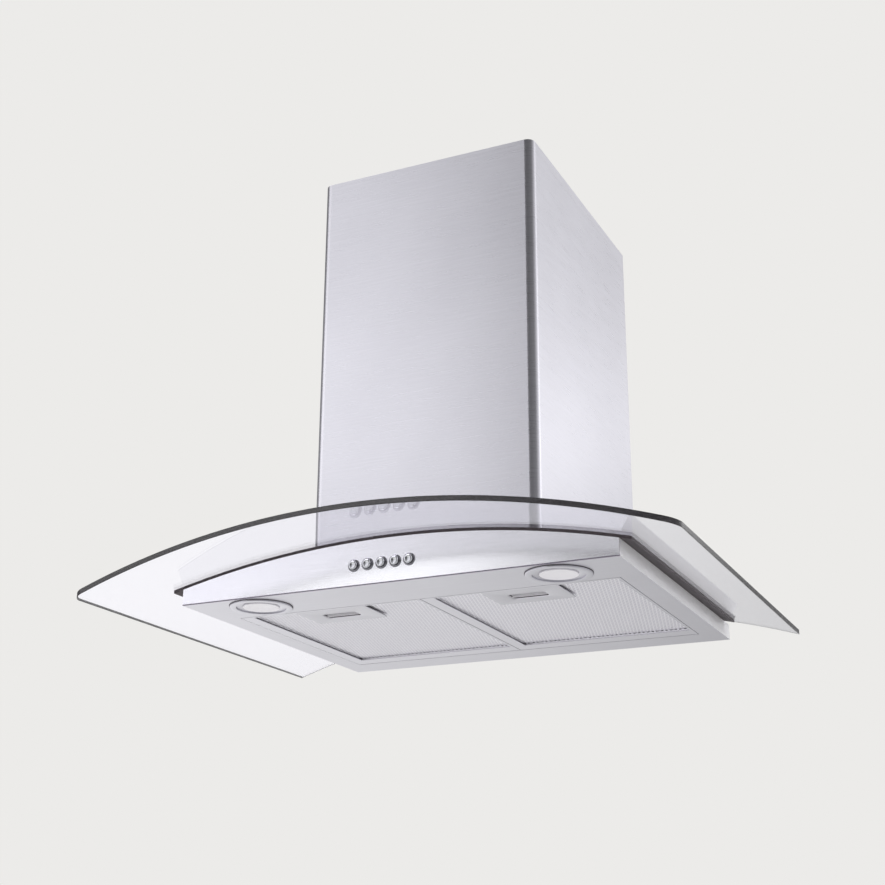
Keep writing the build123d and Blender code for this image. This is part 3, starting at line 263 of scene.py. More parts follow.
# %% [markdown]
# ## Toughened glass
#
# The canopy is 5 mm soda-lime glass, bent and toughened. Face on it is all but clear.
# It is low in iron, so long paths through it come out grey rather than green. A clear
# dielectric with a little absorption in its volume does both from one setting. A faint
# film of smears roughens it here and there.


# %% Toughened glass
SMEAR = 60 * MM
GLASS_IOR = 1.52


def toughened_glass(name):
    material, tree, shader = start_material(
        name, "#FAF9FE", roughness=0.0, ior=GLASS_IOR, transmission_weight=1.0
    )
    tint = add(tree, "ShaderNodeVolumeAbsorption", {"Color": linear("#AFAEB8"), "Density": 12.0})
    feed(tree, tree.nodes["Material Output"], {"Volume": tint.outputs["Volume"]})
    smears = pattern(tree, "ShaderNodeTexNoise", [SMEAR] * 3, Detail=2.0)
    thin = {"From Min": 0.45, "From Max": 0.8, "To Min": 0.0, "To Max": 0.03}
    film = add(tree, "ShaderNodeMapRange", thin, {"Value": smears})
    feed(tree, shader, {"Roughness": film.outputs["Result"]})
    return material


canopy_glass = toughened_glass("toughened_glass")
print("glass of index", GLASS_IOR)

# %% [markdown]
# The edge of the sheet is ground with a diamond wheel, which leaves it dull and dark.
# Light still passes through it, and seen end on it shows the depth of the whole sheet
# behind it. The left edge has a white card behind it, and a painted highlight stands for
# that light, so it is a thin pale line.


# %% Ground glass edge
WHEEL_MARK = (14 * MM, 14 * MM, 1.5 * MM)


def ground_edge(name):
    material, tree, shader = start_material(
        name, "#575459", roughness=0.25, ior=GLASS_IOR, transmission_weight=0.6
    )
    wheel = pattern(tree, "ShaderNodeTexNoise", WHEEL_MARK, Detail=3.0)
    tones = ((0.3, linear("#4A474C")), (0.7, linear("#646166")))
    tone = add(tree, "ShaderNodeValToRGB", links={"Fac": wheel}, stops=tones).outputs["Color"]
    normal = add(tree, "ShaderNodeTexCoord").outputs["Normal"]
    across = add(tree, "ShaderNodeSeparateXYZ", links={"Vector": normal}).outputs["X"]
    # painted highlight: edge faces that look left get a pale colour for the card's light
    left_face = {"From Min": -0.5, "From Max": -0.9}
    carded = add(tree, "ShaderNodeMapRange", left_face, {"Value": across}).outputs["Result"]
    lit = {"Factor": carded, 6: tone}
    edge = add(tree, "ShaderNodeMix", {7: linear("#D6D4D9")}, lit, data_type="RGBA").outputs[2]
    feed(tree, shader, {"Base Color": edge})
    return material


glass_edge = ground_edge("ground_glass_edge")
print("wheel marks every", WHEEL_MARK[2] / MM, "mm")

# %% [markdown]
# ## Moulded plastics and rubber
#
# An injection mould leaves a fine spark-eroded grain on ABS, polyamide and rubber. The
# grain is a low bump of fine noise, and it breaks the gloss up a little. Grain that is
# 0.3 mm wide is drawn 0.8 mm wide, so that it can be seen.


# %% Moulded parts
MOULD_GRAIN = 0.8 * MM
MOULD_GLOSS = 0.08


def moulded(name, dark, light, roughness):
    material, tree, shader = start_material(name, light, roughness=roughness, ior=1.5)
    grit = pattern(tree, "ShaderNodeTexNoise", [MOULD_GRAIN] * 3, Detail=3.0)
    tones = ((0.3, linear(dark)), (0.7, linear(light)))
    tone = add(tree, "ShaderNodeValToRGB", links={"Fac": grit}, stops=tones)
    gloss = {"To Min": roughness - MOULD_GLOSS, "To Max": roughness + MOULD_GLOSS}
    spread = add(tree, "ShaderNodeMapRange", gloss, {"Value": grit})
    bump = add(tree, "ShaderNodeBump", {"Strength": 0.2, "Distance": 0.05 * MM}, {"Height": grit})
    feed(tree, shader, {"Base Color": tone.outputs["Color"], "Roughness": spread.outputs["Result"]})
    feed(tree, shader, {"Normal": bump.outputs["Normal"]})
    return material


seat_rubber = moulded("epdm_rubber", "#3A3337", "#4A4146", 0.55)
blower_plastic = moulded("black_glass_filled_polyamide", "#18191A", "#232425", 0.5)
switch_plastic = moulded("white_abs", "#D8D8D2", "#E2E2DC", 0.4)
nylon = moulded("natural_nylon", "#D9D7CB", "#E4E2D8", 0.38)
terminal_plastic = moulded("grey_polycarbonate", "#B4B6B8", "#C2C4C6", 0.42)
capacitor_plastic = moulded("white_polypropylene", "#DADCDD", "#E6E8E9", 0.3)
board_enamel = moulded("white_solder_mask", "#DFDFDA", "#EDEDE8", 0.35)
print("mould grain", MOULD_GRAIN / MM, "mm")

# %% [markdown]
# ## Plated, turned and painted metal
#
# Buttons are chromed and their rings are black nickel, lamp rings are satin nickel,
# screws are zinc plated, bushes are sintered bronze and the motor is painted. The latch
# plates are pressed steel, painted pale inside the cup and on the handles as painted
# light, and painted dark round the finger slot as painted shade.
# Such faces are smooth with tiny scuffs, so these finishes differ in colour and
# roughness, and share one faint pattern of wear.


# %% Metals with a smooth finish
SCUFF = 2.5 * MM
WEAR = 0.06
GLOSSIEST = 0.02


def smooth_metal(name, colour, roughness, metallic=1.0):
    material, tree, shader = start_material(name, colour, metallic=metallic, roughness=roughness)
    scuffs = pattern(tree, "ShaderNodeTexNoise", [SCUFF] * 3, Detail=5.0, Roughness=0.7)
    gloss = {"To Min": max(roughness - WEAR, GLOSSIEST), "To Max": roughness + WEAR}
    spread = add(tree, "ShaderNodeMapRange", gloss, {"Value": scuffs})
    bump = add(tree, "ShaderNodeBump", {"Strength": 0.06, "Distance": 0.05 * MM}, {"Height": scuffs})
    feed(tree, shader, {"Roughness": spread.outputs["Result"], "Normal": bump.outputs["Normal"]})
    return material


cap_chrome = smooth_metal("button_chrome", "#C9CACE", 0.12)
lamp_nickel = smooth_metal("satin_nickel", "#C6C5CC", 0.3)
zinc_plate = smooth_metal("zinc_plate", "#BFC3C6", 0.28)
spring_wire = smooth_metal("drawn_spring_wire", "#8E9194", 0.3)
bronze = smooth_metal("sintered_bronze", "#B08D57", 0.45)
motor_enamel = smooth_metal("black_motor_enamel", "#1B1C1E", 0.35, metallic=0.0)
lamp_can = smooth_metal("spun_aluminium", "#D0D2D4", 0.25)
filter_aluminium = smooth_metal("rolled_aluminium", "#DAD9DF", 0.4)
net_aluminium = smooth_metal("slit_aluminium", "#FBFAFF", 0.36, metallic=0.8)
black_nickel = smooth_metal("black_nickel", "#8A898F", 0.12)
latch_steel = smooth_metal("pressed_steel", "#C8C7CD", 0.34)
# painted light: a pale, mostly matt copy of the pressed steel for the cups' insides and the handles
handle_steel = smooth_metal("steel_painted_pale", "#F2F1F6", 0.5, metallic=0.3)
# painted shade: a dark copy of the pressed steel for the edge round the finger slot
cut_steel = smooth_metal("steel_painted_dark", "#6A656B", 0.45)
print("scuffs", SCUFF / MM, "mm wide")

# %% [markdown]
# ## Knitted wire
#
# Behind the expanded metal of each filter lies a pad of fine knitted aluminium wire. Its
# loops are about 1.5 mm wide, so a close look shows two sets of crossing diagonals. A
# wave texture repeats every pi / 10 of its units, and its scale takes that out.


# %% Knitted aluminium
LOOP = 1.5 * MM
WAVE_SCALE = 0.314


def knitted_wire(name):
    material, tree, shader = start_material(name, "#E8E6EF", metallic=0.8, roughness=0.42)
    sets = {}
    for which, turn in enumerate((45, -45)):
        at = add(tree, "ShaderNodeTexCoord").outputs["Object"]
        wound = {"Scale": (1 / LOOP,) * 3, "Rotation": (0, 0, math.radians(turn))}
        turned = add(tree, "ShaderNodeMapping", wound, {"Vector": at}).outputs["Vector"]
        ripple = {"Scale": WAVE_SCALE, "Distortion": 1.5, "Detail": 2.0}
        sets[which] = add(tree, "ShaderNodeTexWave", ripple, {"Vector": turned}).outputs["Fac"]
    crossing = add(tree, "ShaderNodeMath", links=sets, operation="MAXIMUM").outputs[0]
    tones = ((0.2, linear("#D0CED7")), (0.8, linear("#E6E4ED")))
    tone = add(tree, "ShaderNodeValToRGB", links={"Fac": crossing}, stops=tones)
    bump = add(tree, "ShaderNodeBump", {"Strength": 0.4, "Distance": 0.3 * MM}, {"Height": crossing})
    feed(tree, shader, {"Base Color": tone.outputs["Color"], "Normal": bump.outputs["Normal"]})
    return material


gauze_wire = knitted_wire("knitted_aluminium_wire")
print("loops", LOOP / MM, "mm wide")

# %% [markdown]
# ## Frosted lens
#
# The lamp lenses are polycarbonate, moulded with a frosted inner face. Light enters and
# is scattered, so the lens looks like bright milk rather than a window.


# %% Frosted polycarbonate
FROST = 0.7 * MM


def frosted(name):
    material, tree, shader = start_material(
        name, "#FAF8FF", roughness=0.35, ior=1.58, transmission_weight=0.05
    )
    frost = pattern(tree, "ShaderNodeTexNoise", [FROST] * 3, Detail=2.0)
    bump = add(tree, "ShaderNodeBump", {"Strength": 0.3, "Distance": 0.1 * MM}, {"Height": frost})
    feed(tree, shader, {"Normal": bump.outputs["Normal"]})
    return material


lens_plastic = frosted("frosted_polycarbonate")
print("frost", FROST / MM, "mm wide")

# %% [markdown]
# ## How a piece is made
#
# Every dressed piece is a mesh built here, in the row frame, so it needs no moving. It
# rides the body that its solid belongs to, and stands for that solid.


# %% From a bmesh to a piece
WELD = 0.0005 * MM
SHARP = math.radians(35)


def finish_mesh(name, build, materials, body, *nodes):
    """Turn a bmesh into a piece that rides a body and stands for some solids."""
    bmesh.ops.remove_doubles(build, verts=build.verts, dist=WELD)
    bmesh.ops.recalc_face_normals(build, faces=build.faces)
    mesh = bpy.data.meshes.new(name)
    build.to_mesh(mesh)
    build.free()
    for material in materials:
        mesh.materials.append(material)
    mesh.shade_smooth()
    mesh.set_sharp_from_angle(angle=SHARP)
    piece = bpy.data.objects.new(name, mesh)
    bpy.context.scene.collection.objects.link(piece)
    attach(piece, body)
    if nodes:
        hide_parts(*nodes)
    return piece


print("edges sharper than", round(math.degrees(SHARP)), "degrees stay sharp")

# %% [markdown]
# ## Bent glass sheet
#
# The sheet is bent about an axis along Y, so any line along Y on it is straight. It is
# drawn as strips along Y between stations in X. At each station the front edge's bow and
# the round corners give the depth. The cut-out for the air path is a gap in the strips.

# %% Outline of the glass
BEND_RADIUS = 960.0
GLASS_THICKNESS = 5.0
GLASS_BACK = -4.0
GLASS_BOW = 13.0
CORNER_RADIUS = 12.0
CUT_HALF = 90.0
CUT_BACK = -32.0
CUT_FRONT = -252.0
CUT_CORNER = 8.0
ARRIS = 0.55
ARRIS_ANGLE = math.radians(50)
CUT_STRIPS = 12
WING_STRIPS = 20
glass_half = glass_high.x / MM
glass_tip = glass_low.y / MM
bend_centre = glass_high.z / MM - BEND_RADIUS - GLASS_THICKNESS
bow_radius = (glass_half**2 + GLASS_BOW**2) / (2 * GLASS_BOW)
corner_x = glass_half - CORNER_RADIUS
corner_y = glass_tip + bow_radius - math.sqrt((bow_radius - CORNER_RADIUS) ** 2 - corner_x**2)
tangent_x = corner_x * bow_radius / (bow_radius - CORNER_RADIUS)


def front_of_glass(x):
    """How far forward the glass reaches at x."""
    if abs(x) > tangent_x:
        return corner_y - math.sqrt(max(CORNER_RADIUS**2 - (abs(x) - corner_x) ** 2, 0))
    return glass_tip + bow_radius - math.sqrt(bow_radius**2 - x**2)


def cut_inset(x):
    """How far the cut-out's rounded corners close it at x."""
    past = abs(x) - (CUT_HALF - CUT_CORNER)
    if past <= 0:
        return 0.0
    return CUT_CORNER - math.sqrt(max(CUT_CORNER**2 - min(past, CUT_CORNER) ** 2, 0))


def glass_stations():
    """Where the strips begin and end: across the cut-out, then out to the round corners."""
    turns = [math.sin(math.radians(angle)) for angle in range(15, 91, 15)]
    half = [CUT_HALF * i / CUT_STRIPS for i in range(CUT_STRIPS)]
    half += [CUT_HALF - CUT_CORNER * (1 - turn) for turn in turns]
    half += [CUT_HALF + (tangent_x - CUT_HALF) * (i + 1) / WING_STRIPS for i in range(WING_STRIPS)]
    half += [corner_x + CORNER_RADIUS * turn for turn in turns]
    half = sorted({round(x, 4) for x in half if x <= glass_half})
    return [-x for x in reversed(half) if x > 0] + half


print("glass stations:", len(glass_stations()))

# %% [markdown]
# Two bent skins are joined along every open edge. That ground edge has its own finish,
# and the arris between edge and face is bevelled.


# %% Bent glass sheet
def bent_glass():
    """The canopy's glass, with its ground edge as a second material."""
    build = bmesh.new()
    skins = []
    stations = glass_stations()
    for reach in (BEND_RADIUS, BEND_RADIUS + GLASS_THICKNESS):
        rows = []
        for x in stations:
            z = bend_centre + math.sqrt(reach**2 - x**2)
            inset = cut_inset(x)
            depths = (GLASS_BACK, CUT_BACK - inset, CUT_FRONT + inset, front_of_glass(x))
            rows.append([build.verts.new(Vector((x, y, z)) * MM) for y in depths])
        skins.append(rows)
    for rows in skins:
        for (x, row), (next_x, next_row) in zip(zip(stations, rows), zip(stations[1:], rows[1:])):
            for band in range(3):
                if band == 1 and max(abs(x), abs(next_x)) <= CUT_HALF:
                    continue
                build.faces.new((row[band], row[band + 1], next_row[band + 1], next_row[band]))
    open_edges = [edge for edge in build.edges if edge.is_boundary]
    low_verts = {vert: i for i, vert in enumerate(v for row in skins[0] for v in row)}
    high_verts = [v for row in skins[1] for v in row]
    for edge in open_edges:
        a, b = edge.verts
        if a in low_verts and b in low_verts:
            side = build.faces.new((a, b, high_verts[low_verts[b]], high_verts[low_verts[a]]))
            side.material_index = 1
    piece = finish_mesh("glass_sheet", build, [canopy_glass, glass_edge], "hood", "glass_canopy")
    arris = piece.modifiers.new("arris", "BEVEL")
    arris.width = ARRIS * MM
    arris.segments = 2
    arris.limit_method = "ANGLE"
    arris.angle_limit = ARRIS_ANGLE
    arris.material = 0
    return piece


print("glass faces:", len(bent_glass().data.polygons))

# %% [markdown]
# ## Expanded metal nets
#
# Expanded metal is slit and stretched, so the strands between its diamonds lie tilted,
# like louvres. Each diamond here is four strands round a hole, with the hole's rear
# corner pushed up and its front corner pulled down. The solid's net is coarser, because
# it is only there for its mass. Real diamonds are about 3 by 8 mm, and these are drawn
# 3.6 by 14, so that they show. The net's rim is bent down towards the frame. At the back
# it is notched, and on the left and beside the latch it stops short and leaves a gap.

# %% Sizes of the net
DIAMOND_X = 3.6
DIAMOND_Y = 14.0
STRAND = 1.12
STRAND_ACROSS = 1.4
STRAND_ALONG = 2.2
LOUVRE = 0.12
PAD_GAP = 0.05
CUP_HALF = 26.0
RIM_DROP = 0.6
RIM_GAP = 0.5
TOOTH = 5.0
FRAME_SKIN = 0.8
FLANGE_WIDTHS = {"left": 13.0, "right": 3.0, "front": 3.0, "back": 28.3}
print("diamonds", DIAMOND_X, "by", DIAMOND_Y, "mm")

# %% [markdown]
# A diamond is two rings of four corners with a skin between them. The same helper skins
# any stack of rings, and later cells use it again.


# %% Nets
def bridge(build, loops):
    """Join rings of points, each with as many points as the next, into a skin."""
    rings = [[build.verts.new(point) for point in loop] for loop in loops]
    for low, high in zip(rings, rings[1:]):
        for i in range(len(low)):
            j = (i + 1) % len(low)
            build.faces.new((low[i], low[j], high[j], high[i]))
    return rings


def expanded_net(side):
    """Rows of diamonds, every other row between the first ones, and the bent rim."""
    low, high = [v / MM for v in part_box("filter_net_" + side)]
    latch_low, latch_high = [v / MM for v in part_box("latch_plate_" + side)]
    middle = (latch_low.x + latch_high.x) / 2
    columns = round((high.x - low.x) / DIAMOND_X)
    rows = round((high.y - low.y) / DIAMOND_Y)
    pitch_x = (high.x - low.x) / columns
    pitch_y = (high.y - low.y) / rows
    share_x = 1 - STRAND * STRAND_ACROSS / pitch_x
    share_y = 1 - STRAND * STRAND_ALONG / pitch_y
    build = bmesh.new()
    for shift in (0, 1):
        for column in range(columns - shift):
            for row in range(rows - shift):
                x = low.x + (column + 0.5 + shift / 2) * pitch_x
                y = low.y + (row + 0.5 + shift / 2) * pitch_y
                if abs(x - middle) < CUP_HALF + pitch_x / 2 and y < latch_high.y + pitch_y / 4:
                    continue
                outer, inner = [], []
                for turn_x, turn_y in ((1, 0), (0, 1), (-1, 0), (0, -1)):
                    out_x, out_y = turn_x * pitch_x / 2, turn_y * pitch_y / 2
                    lift = low.z + turn_y * LOUVRE
                    outer.append(Vector((x + out_x, y + out_y, low.z)) * MM)
                    inner.append(Vector((x + out_x * share_x, y + out_y * share_y, lift)) * MM)
                bridge(build, [outer, inner])
    frame_low, frame_high = [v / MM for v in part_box("filter_frame_" + side)]
    right = frame_high.x - FLANGE_WIDTHS["right"]
    back = frame_high.y - FLANGE_WIDTHS["back"]
    left = frame_low.x + FLANGE_WIDTHS["left"]
    front = frame_low.y + FLANGE_WIDTHS["front"]
    beside = latch_high.x + RIM_DROP
    half_way = low.z - RIM_DROP
    strips = [
        ((left, back), (right, back), FRAME_SKIN, half_way),
        ((right, back), (right, front), FRAME_SKIN + RIM_GAP, low.z),
        ((left, front), (left, back), half_way, low.z),
        ((beside, front), (beside, latch_low.y), half_way, low.z),
    ]
    teeth = round((right - left) / TOOTH)
    for i in range(teeth):
        at = left + (right - left) * (i + 0.25) / teeth
        strips.append(((at, back), (at + TOOTH / 2, back), half_way, low.z))
    for start, stop, foot, top in strips:
        corners = ((start, foot), (stop, foot), (stop, top), (start, top))
        build.faces.new([build.verts.new(Vector((*xy, z)) * MM) for xy, z in corners])
    net = finish_mesh("net_" + side, build, [net_aluminium], "filter_" + side, "filter_net_" + side)
    print(net.name, "has", 2 * rows * columns, "diamonds")
    return low, high, middle, latch_high


# %% [markdown]
# The pad shows only through the holes of the net, so a plain sheet with the knitted
# finish is enough. It goes round the latch's cup in three pieces.


# %% Nets with their knitted pads
def knitted_pad(side, low, high, middle, latch_high):
    """A sheet behind the net."""
    build = bmesh.new()
    height = low.z + LOUVRE + PAD_GAP
    for left, right, front, back in (
        (low.x, middle - CUP_HALF, low.y, latch_high.y),
        (middle + CUP_HALF, high.x, low.y, latch_high.y),
        (low.x, high.x, latch_high.y, high.y),
    ):
        corners = ((left, front), (right, front), (right, back), (left, back))
        build.faces.new([build.verts.new(Vector((x, y, height)) * MM) for x, y in corners])
    pad = finish_mesh("knitted_pad_" + side, build, [gauze_wire], "filter_" + side)


for side in SIDES:
    knitted_pad(side, *expanded_net(side))

# %% [markdown]
# ## Push buttons
#
# Each cap is turned and chromed, with a rounded rim and a shallow dish. A ring of black
# nickel with a round outer edge lines its hole. A turned piece is a profile of (radius,
# height) points in mm that goes round an axis, so three helpers are enough for all: one
# turns, one aims the axis and one rounds an edge.


# %% Turned pieces
def revolve(build, profile, matrix, segments=48):
    """Turn a profile of (radius, height) points, in mm, about the matrix's own Z."""
    rings = []
    for radius, height in profile:
        count = segments if radius else 1
        ring = []
        for i in range(count):
            angle = 2 * math.pi * i / segments
            point = Vector((radius * math.cos(angle), radius * math.sin(angle), height))
            ring.append(build.verts.new(matrix @ (point * MM)))
        rings.append(ring)
    for low, high in zip(rings, rings[1:]):
        for i in range(segments):
            j = (i + 1) % segments
            corners = [low[i % len(low)], low[j % len(low)], high[j % len(high)], high[i % len(high)]]
            build.faces.new(list(dict.fromkeys(corners)))


def facing(place_at, direction):
    """A matrix at a point, with its own Z along a direction."""
    turned = Vector(direction).to_track_quat("Z", "Y").to_matrix().to_4x4()
    return Matrix.Translation(place_at) @ turned


def arc(centre_r, centre_h, radius, start, stop, steps=5):
    """Profile points on a round edge, with its angles in degrees."""
    points = []
    for i in range(steps + 1):
        angle = math.radians(start + (stop - start) * i / steps)
        points.append((centre_r + radius * math.cos(angle), centre_h + radius * math.sin(angle)))
    return points


print("a round edge has", len(arc(0, 0, 1, 0, 90)), "points")

# %% [markdown]
# The cap's profile starts at its hidden foot and ends in the dish. The ring's profile
# goes up its bore, over the round edge and back under its seat.

# %% Profiles of caps and rings
CAP_RADIUS = 4.3
CAP_LENGTH = 13.5
CAP_EDGE = 1.3
DISH = 0.6
RING_INNER = 4.6
RING_OUTER = 6.1
RING_STAND = 1.2
RING_SUNK = 1.0
RING_EASE = 0.3
RING_ROUND = 1.0
RING_SEAT = 0.8


CAP_PROFILE = [(0, 0), (CAP_RADIUS, 0)]
CAP_PROFILE += arc(CAP_RADIUS - CAP_EDGE, CAP_LENGTH - CAP_EDGE, CAP_EDGE, 0, 90)
CAP_PROFILE += [(CAP_RADIUS * 0.66, CAP_LENGTH - DISH * 0.35)]
CAP_PROFILE += [(CAP_RADIUS * 0.4, CAP_LENGTH - DISH * 0.8), (0, CAP_LENGTH - DISH)]
RING_PROFILE = [(RING_INNER, -RING_SUNK), (RING_INNER, RING_STAND - RING_EASE)]
RING_PROFILE += arc(RING_INNER + RING_EASE, RING_STAND - RING_EASE, RING_EASE, 180, 90)
RING_PROFILE += arc(RING_OUTER - RING_ROUND, RING_STAND - RING_ROUND, RING_ROUND, 90, 0)
RING_PROFILE += [(RING_OUTER, 0), (RING_OUTER - RING_SEAT, 0)]
RING_PROFILE += [(RING_OUTER - RING_SEAT, -RING_SUNK), (RING_INNER, -RING_SUNK)]
print("cap points:", len(CAP_PROFILE), "ring points:", len(RING_PROFILE))

# %% [markdown]
# Each cap rides its own body, so that it can be pressed. The rings are one fixed piece.

# %% Button caps and rings
rings = bmesh.new()
for name in BUTTONS:
    node = "button_" + name
    low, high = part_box(node)
    centre = Vector(((low.x + high.x) / 2, high.y, (low.z + high.z) / 2))
    build = bmesh.new()
    revolve(build, CAP_PROFILE, facing(centre, (0, -1, 0)), segments=40)
    finish_mesh("cap_" + name, build, [cap_chrome], node, node)
    on_fascia = Vector((centre.x, FRONT, centre.z))
    revolve(rings, RING_PROFILE, facing(on_fascia, (0, -1, 0)), segments=40)
finish_mesh("button_rings", rings, [black_nickel], "hood", "button_bezels")
print("caps and rings:", len(BUTTONS))

# %% [markdown]
# ## Lamps
#
# A lamp's ring is spun from sheet: a rounded outer step, then a step back to the lens. A
# thin dark rubber gasket under it is painted shade: it stands for the contact shadow round
# the ring. The lens is moulded with a shallow hollow. All three are turned from profiles in
# mm, where a negative height is below the underside.

# %% Profiles of the lamps
FLANGE = 31.0
STEP = 24.5
LENS = 18.0
LENS_FLANGE = 21.2
BARREL = 26.9
BARREL_INNER = 24.9
BARREL_TOP = 7.2
RING_DEPTH = 1.8
RING_RECESS = 0.55
OUTER_ROUND = 0.7
INNER_ROUND = 0.25
LENS_GAP = 0.2
GASKET = 0.5
GASKET_EDGE = FLANGE + 0.4
LAMP_RING_PROFILE = [(BARREL, BARREL_TOP), (BARREL, -GASKET), (FLANGE, -GASKET), (FLANGE, 0.3 - RING_DEPTH)]
LAMP_RING_PROFILE += arc(FLANGE - OUTER_ROUND, OUTER_ROUND - RING_DEPTH, OUTER_ROUND, -10, -90)
LAMP_RING_PROFILE += arc(STEP + INNER_ROUND, INNER_ROUND - RING_DEPTH, INNER_ROUND, -90, -180)
LAMP_RING_PROFILE += [(STEP, -RING_RECESS), (LENS + 0.9, -RING_RECESS)]
LAMP_RING_PROFILE += [(LENS + LENS_GAP, -0.3), (LENS + LENS_GAP, 0), (BARREL_INNER, 0)]
LAMP_RING_PROFILE += [(BARREL_INNER, BARREL_TOP), (BARREL, BARREL_TOP)]
GASKET_PROFILE = [(BARREL, 0), (GASKET_EDGE, 0), (GASKET_EDGE, -GASKET), (BARREL, -GASKET), (BARREL, 0)]
LENS_PROFILE = [(0, 1.2), (LENS_FLANGE, 1.2), (LENS_FLANGE, 0), (LENS, 0), (LENS, -1.1)]
LENS_PROFILE += [(LENS - 0.3, -1.4), (LENS - 1.5, -1.35), (12, -1.1), (6, -0.9), (0, -0.85)]
print("ring points:", len(LAMP_RING_PROFILE), "lens points:", len(LENS_PROFILE))

# %% [markdown]
# Ring and its dark gasket of painted shade are one mesh with two materials. The lens is a
# piece of its own.

# %% Lamp rings and lenses
for side in SIDES:
    low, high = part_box("lamp_lens_" + side)
    centre = Vector(((low.x + high.x) / 2, (low.y + high.y) / 2, 0))
    build = bmesh.new()
    revolve(build, LAMP_RING_PROFILE, Matrix.Translation(centre), segments=96)
    ring_faces = len(build.faces)
    # painted shade: a dark gasket ring round the lamp ring for its contact shadow
    revolve(build, GASKET_PROFILE, Matrix.Translation(centre), segments=96)
    for face in list(build.faces)[ring_faces:]:
        face.material_index = 1
    finish_mesh("lamp_ring_" + side, build, [lamp_nickel, seat_rubber], "hood", "lamp_bezel_" + side)
    build = bmesh.new()
    revolve(build, LENS_PROFILE, Matrix.Translation(centre), segments=72)
    lens = finish_mesh("lens_" + side, build, [lens_plastic], "hood", "lamp_lens_" + side)
    print(lens.name, "is", 2 * LENS, "mm across")

# %% [markdown]
# ## Filter latches
#
# A latch is a pressed plate with a finger slot and a cup behind it. The slot's rim is
# rolled up, and its edge is painted dark as painted shade, so it outlines the inside of
# the cup, which is painted pale as painted light. Each form is a stack of rounded
# rectangles with a skin between them.

# %% Sizes of a latch plate
PLATE_SKIN = 0.8
PLATE_EASE = 0.3
PLATE_CORNER = 2.0
SLOT_HALF_X = 18.0
SLOT_HALF_Y = 8.5
SLOT_CORNER = 3.0
SLOT_REAR = 16.0
RIM = 1.6
RIM_TOP = RIM + 0.3
CUP_HIGH = 7.8
CUP_EASE = 0.8
PLATE_CUP_HALF = 25.8


def rounded_loop(half_x, half_y, radius, steps=5):
    """The points of a rounded rectangle about the origin, corner by corner."""
    points = []
    for quarter, (sx, sy) in enumerate(((1, 1), (-1, 1), (-1, -1), (1, -1))):
        for step in range(steps + 1):
            angle = (quarter + step / steps) * math.pi / 2
            x = sx * (half_x - radius) + radius * math.cos(angle)
            y = sy * (half_y - radius) + radius * math.sin(angle)
            points.append((x, y))
    return points


print("points in a loop:", len(rounded_loop(SLOT_HALF_X, SLOT_HALF_Y, SLOT_CORNER)))

# %% [markdown]
# One skin runs from the rolled rim over the plate's edge and back to the rim. The cup has
# an outer and an inner skin, the inner one painted pale as painted light, and the last
# skin is the slot's edge, painted dark as painted shade.


# %% Latch plates
def latch_plate(side):
    """A plate with its cup: pressed outside, painted pale inside as painted light, and painted dark round
    the slot as painted shade.
    """
    low, high = [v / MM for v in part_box("latch_plate_" + side)]
    middle = (low + high) / 2
    half = (high - low) / 2
    slot_y = high.y - SLOT_REAR - SLOT_HALF_Y

    def loop(at_y, half_x, half_y, corner, height):
        points = rounded_loop(half_x, half_y, corner)
        return [Vector((middle.x + x, at_y + y, height)) * MM for x, y in points]

    def slot_loop(grow, height):
        return loop(slot_y, SLOT_HALF_X + grow, SLOT_HALF_Y + grow, SLOT_CORNER + grow, height)

    def plate_loop(shrink, height):
        return loop(middle.y, half.x - shrink, half.y - shrink, PLATE_CORNER, height)

    def cup_loop(shrink, height):
        half_y = half.y - PLATE_SKIN - shrink
        return loop(middle.y, PLATE_CUP_HALF - shrink, half_y, PLATE_CORNER, height)

    build = bmesh.new()
    skin = [slot_loop(0, RIM_TOP), slot_loop(RIM * 0.7, PLATE_SKIN)]
    skin += [plate_loop(0, PLATE_SKIN), plate_loop(0, PLATE_EASE), plate_loop(PLATE_EASE, 0)]
    skin += [slot_loop(RIM, 0), slot_loop(RIM * 0.4, 0.2), slot_loop(0, RIM * 0.5)]
    bridge(build, skin)
    outside = [cup_loop(0, PLATE_SKIN), cup_loop(0, CUP_HIGH - CUP_EASE), cup_loop(CUP_EASE, CUP_HIGH)]
    build.faces.new(bridge(build, outside)[-1])
    pressed = len(build.faces)
    inside = [cup_loop(PLATE_SKIN, PLATE_SKIN), cup_loop(PLATE_SKIN, CUP_HIGH - PLATE_SKIN)]
    build.faces.new(bridge(build, inside)[-1])
    lined = len(build.faces)
    bridge(build, [slot_loop(0, RIM * 0.5), slot_loop(0, RIM_TOP)])
    # the cup's inner skin gets the pale painted light, the slot's edge the dark painted shade
    for i, face in enumerate(build.faces):
        face.material_index = (i >= pressed) + (i >= lined)
    finishes = [latch_steel, handle_steel, cut_steel]
    finish_mesh("latch_cover_" + side, build, finishes, "filter_" + side, "latch_plate_" + side)
    print("the slot on the", side, "is", 2 * SLOT_HALF_X, "mm wide")


for side in SIDES:
    latch_plate(side)

# %% [markdown]
# ## Latch springs
#
# A coil of drawn wire pushes each latch forward again, and it shortens when the latch is
# pulled back. Its wire is a ring of points that winds along a helix.

# %% Latch springs
WIRE = 0.25
TURNS = 6
TURN_STEPS = 20
WIRE_STEPS = 8


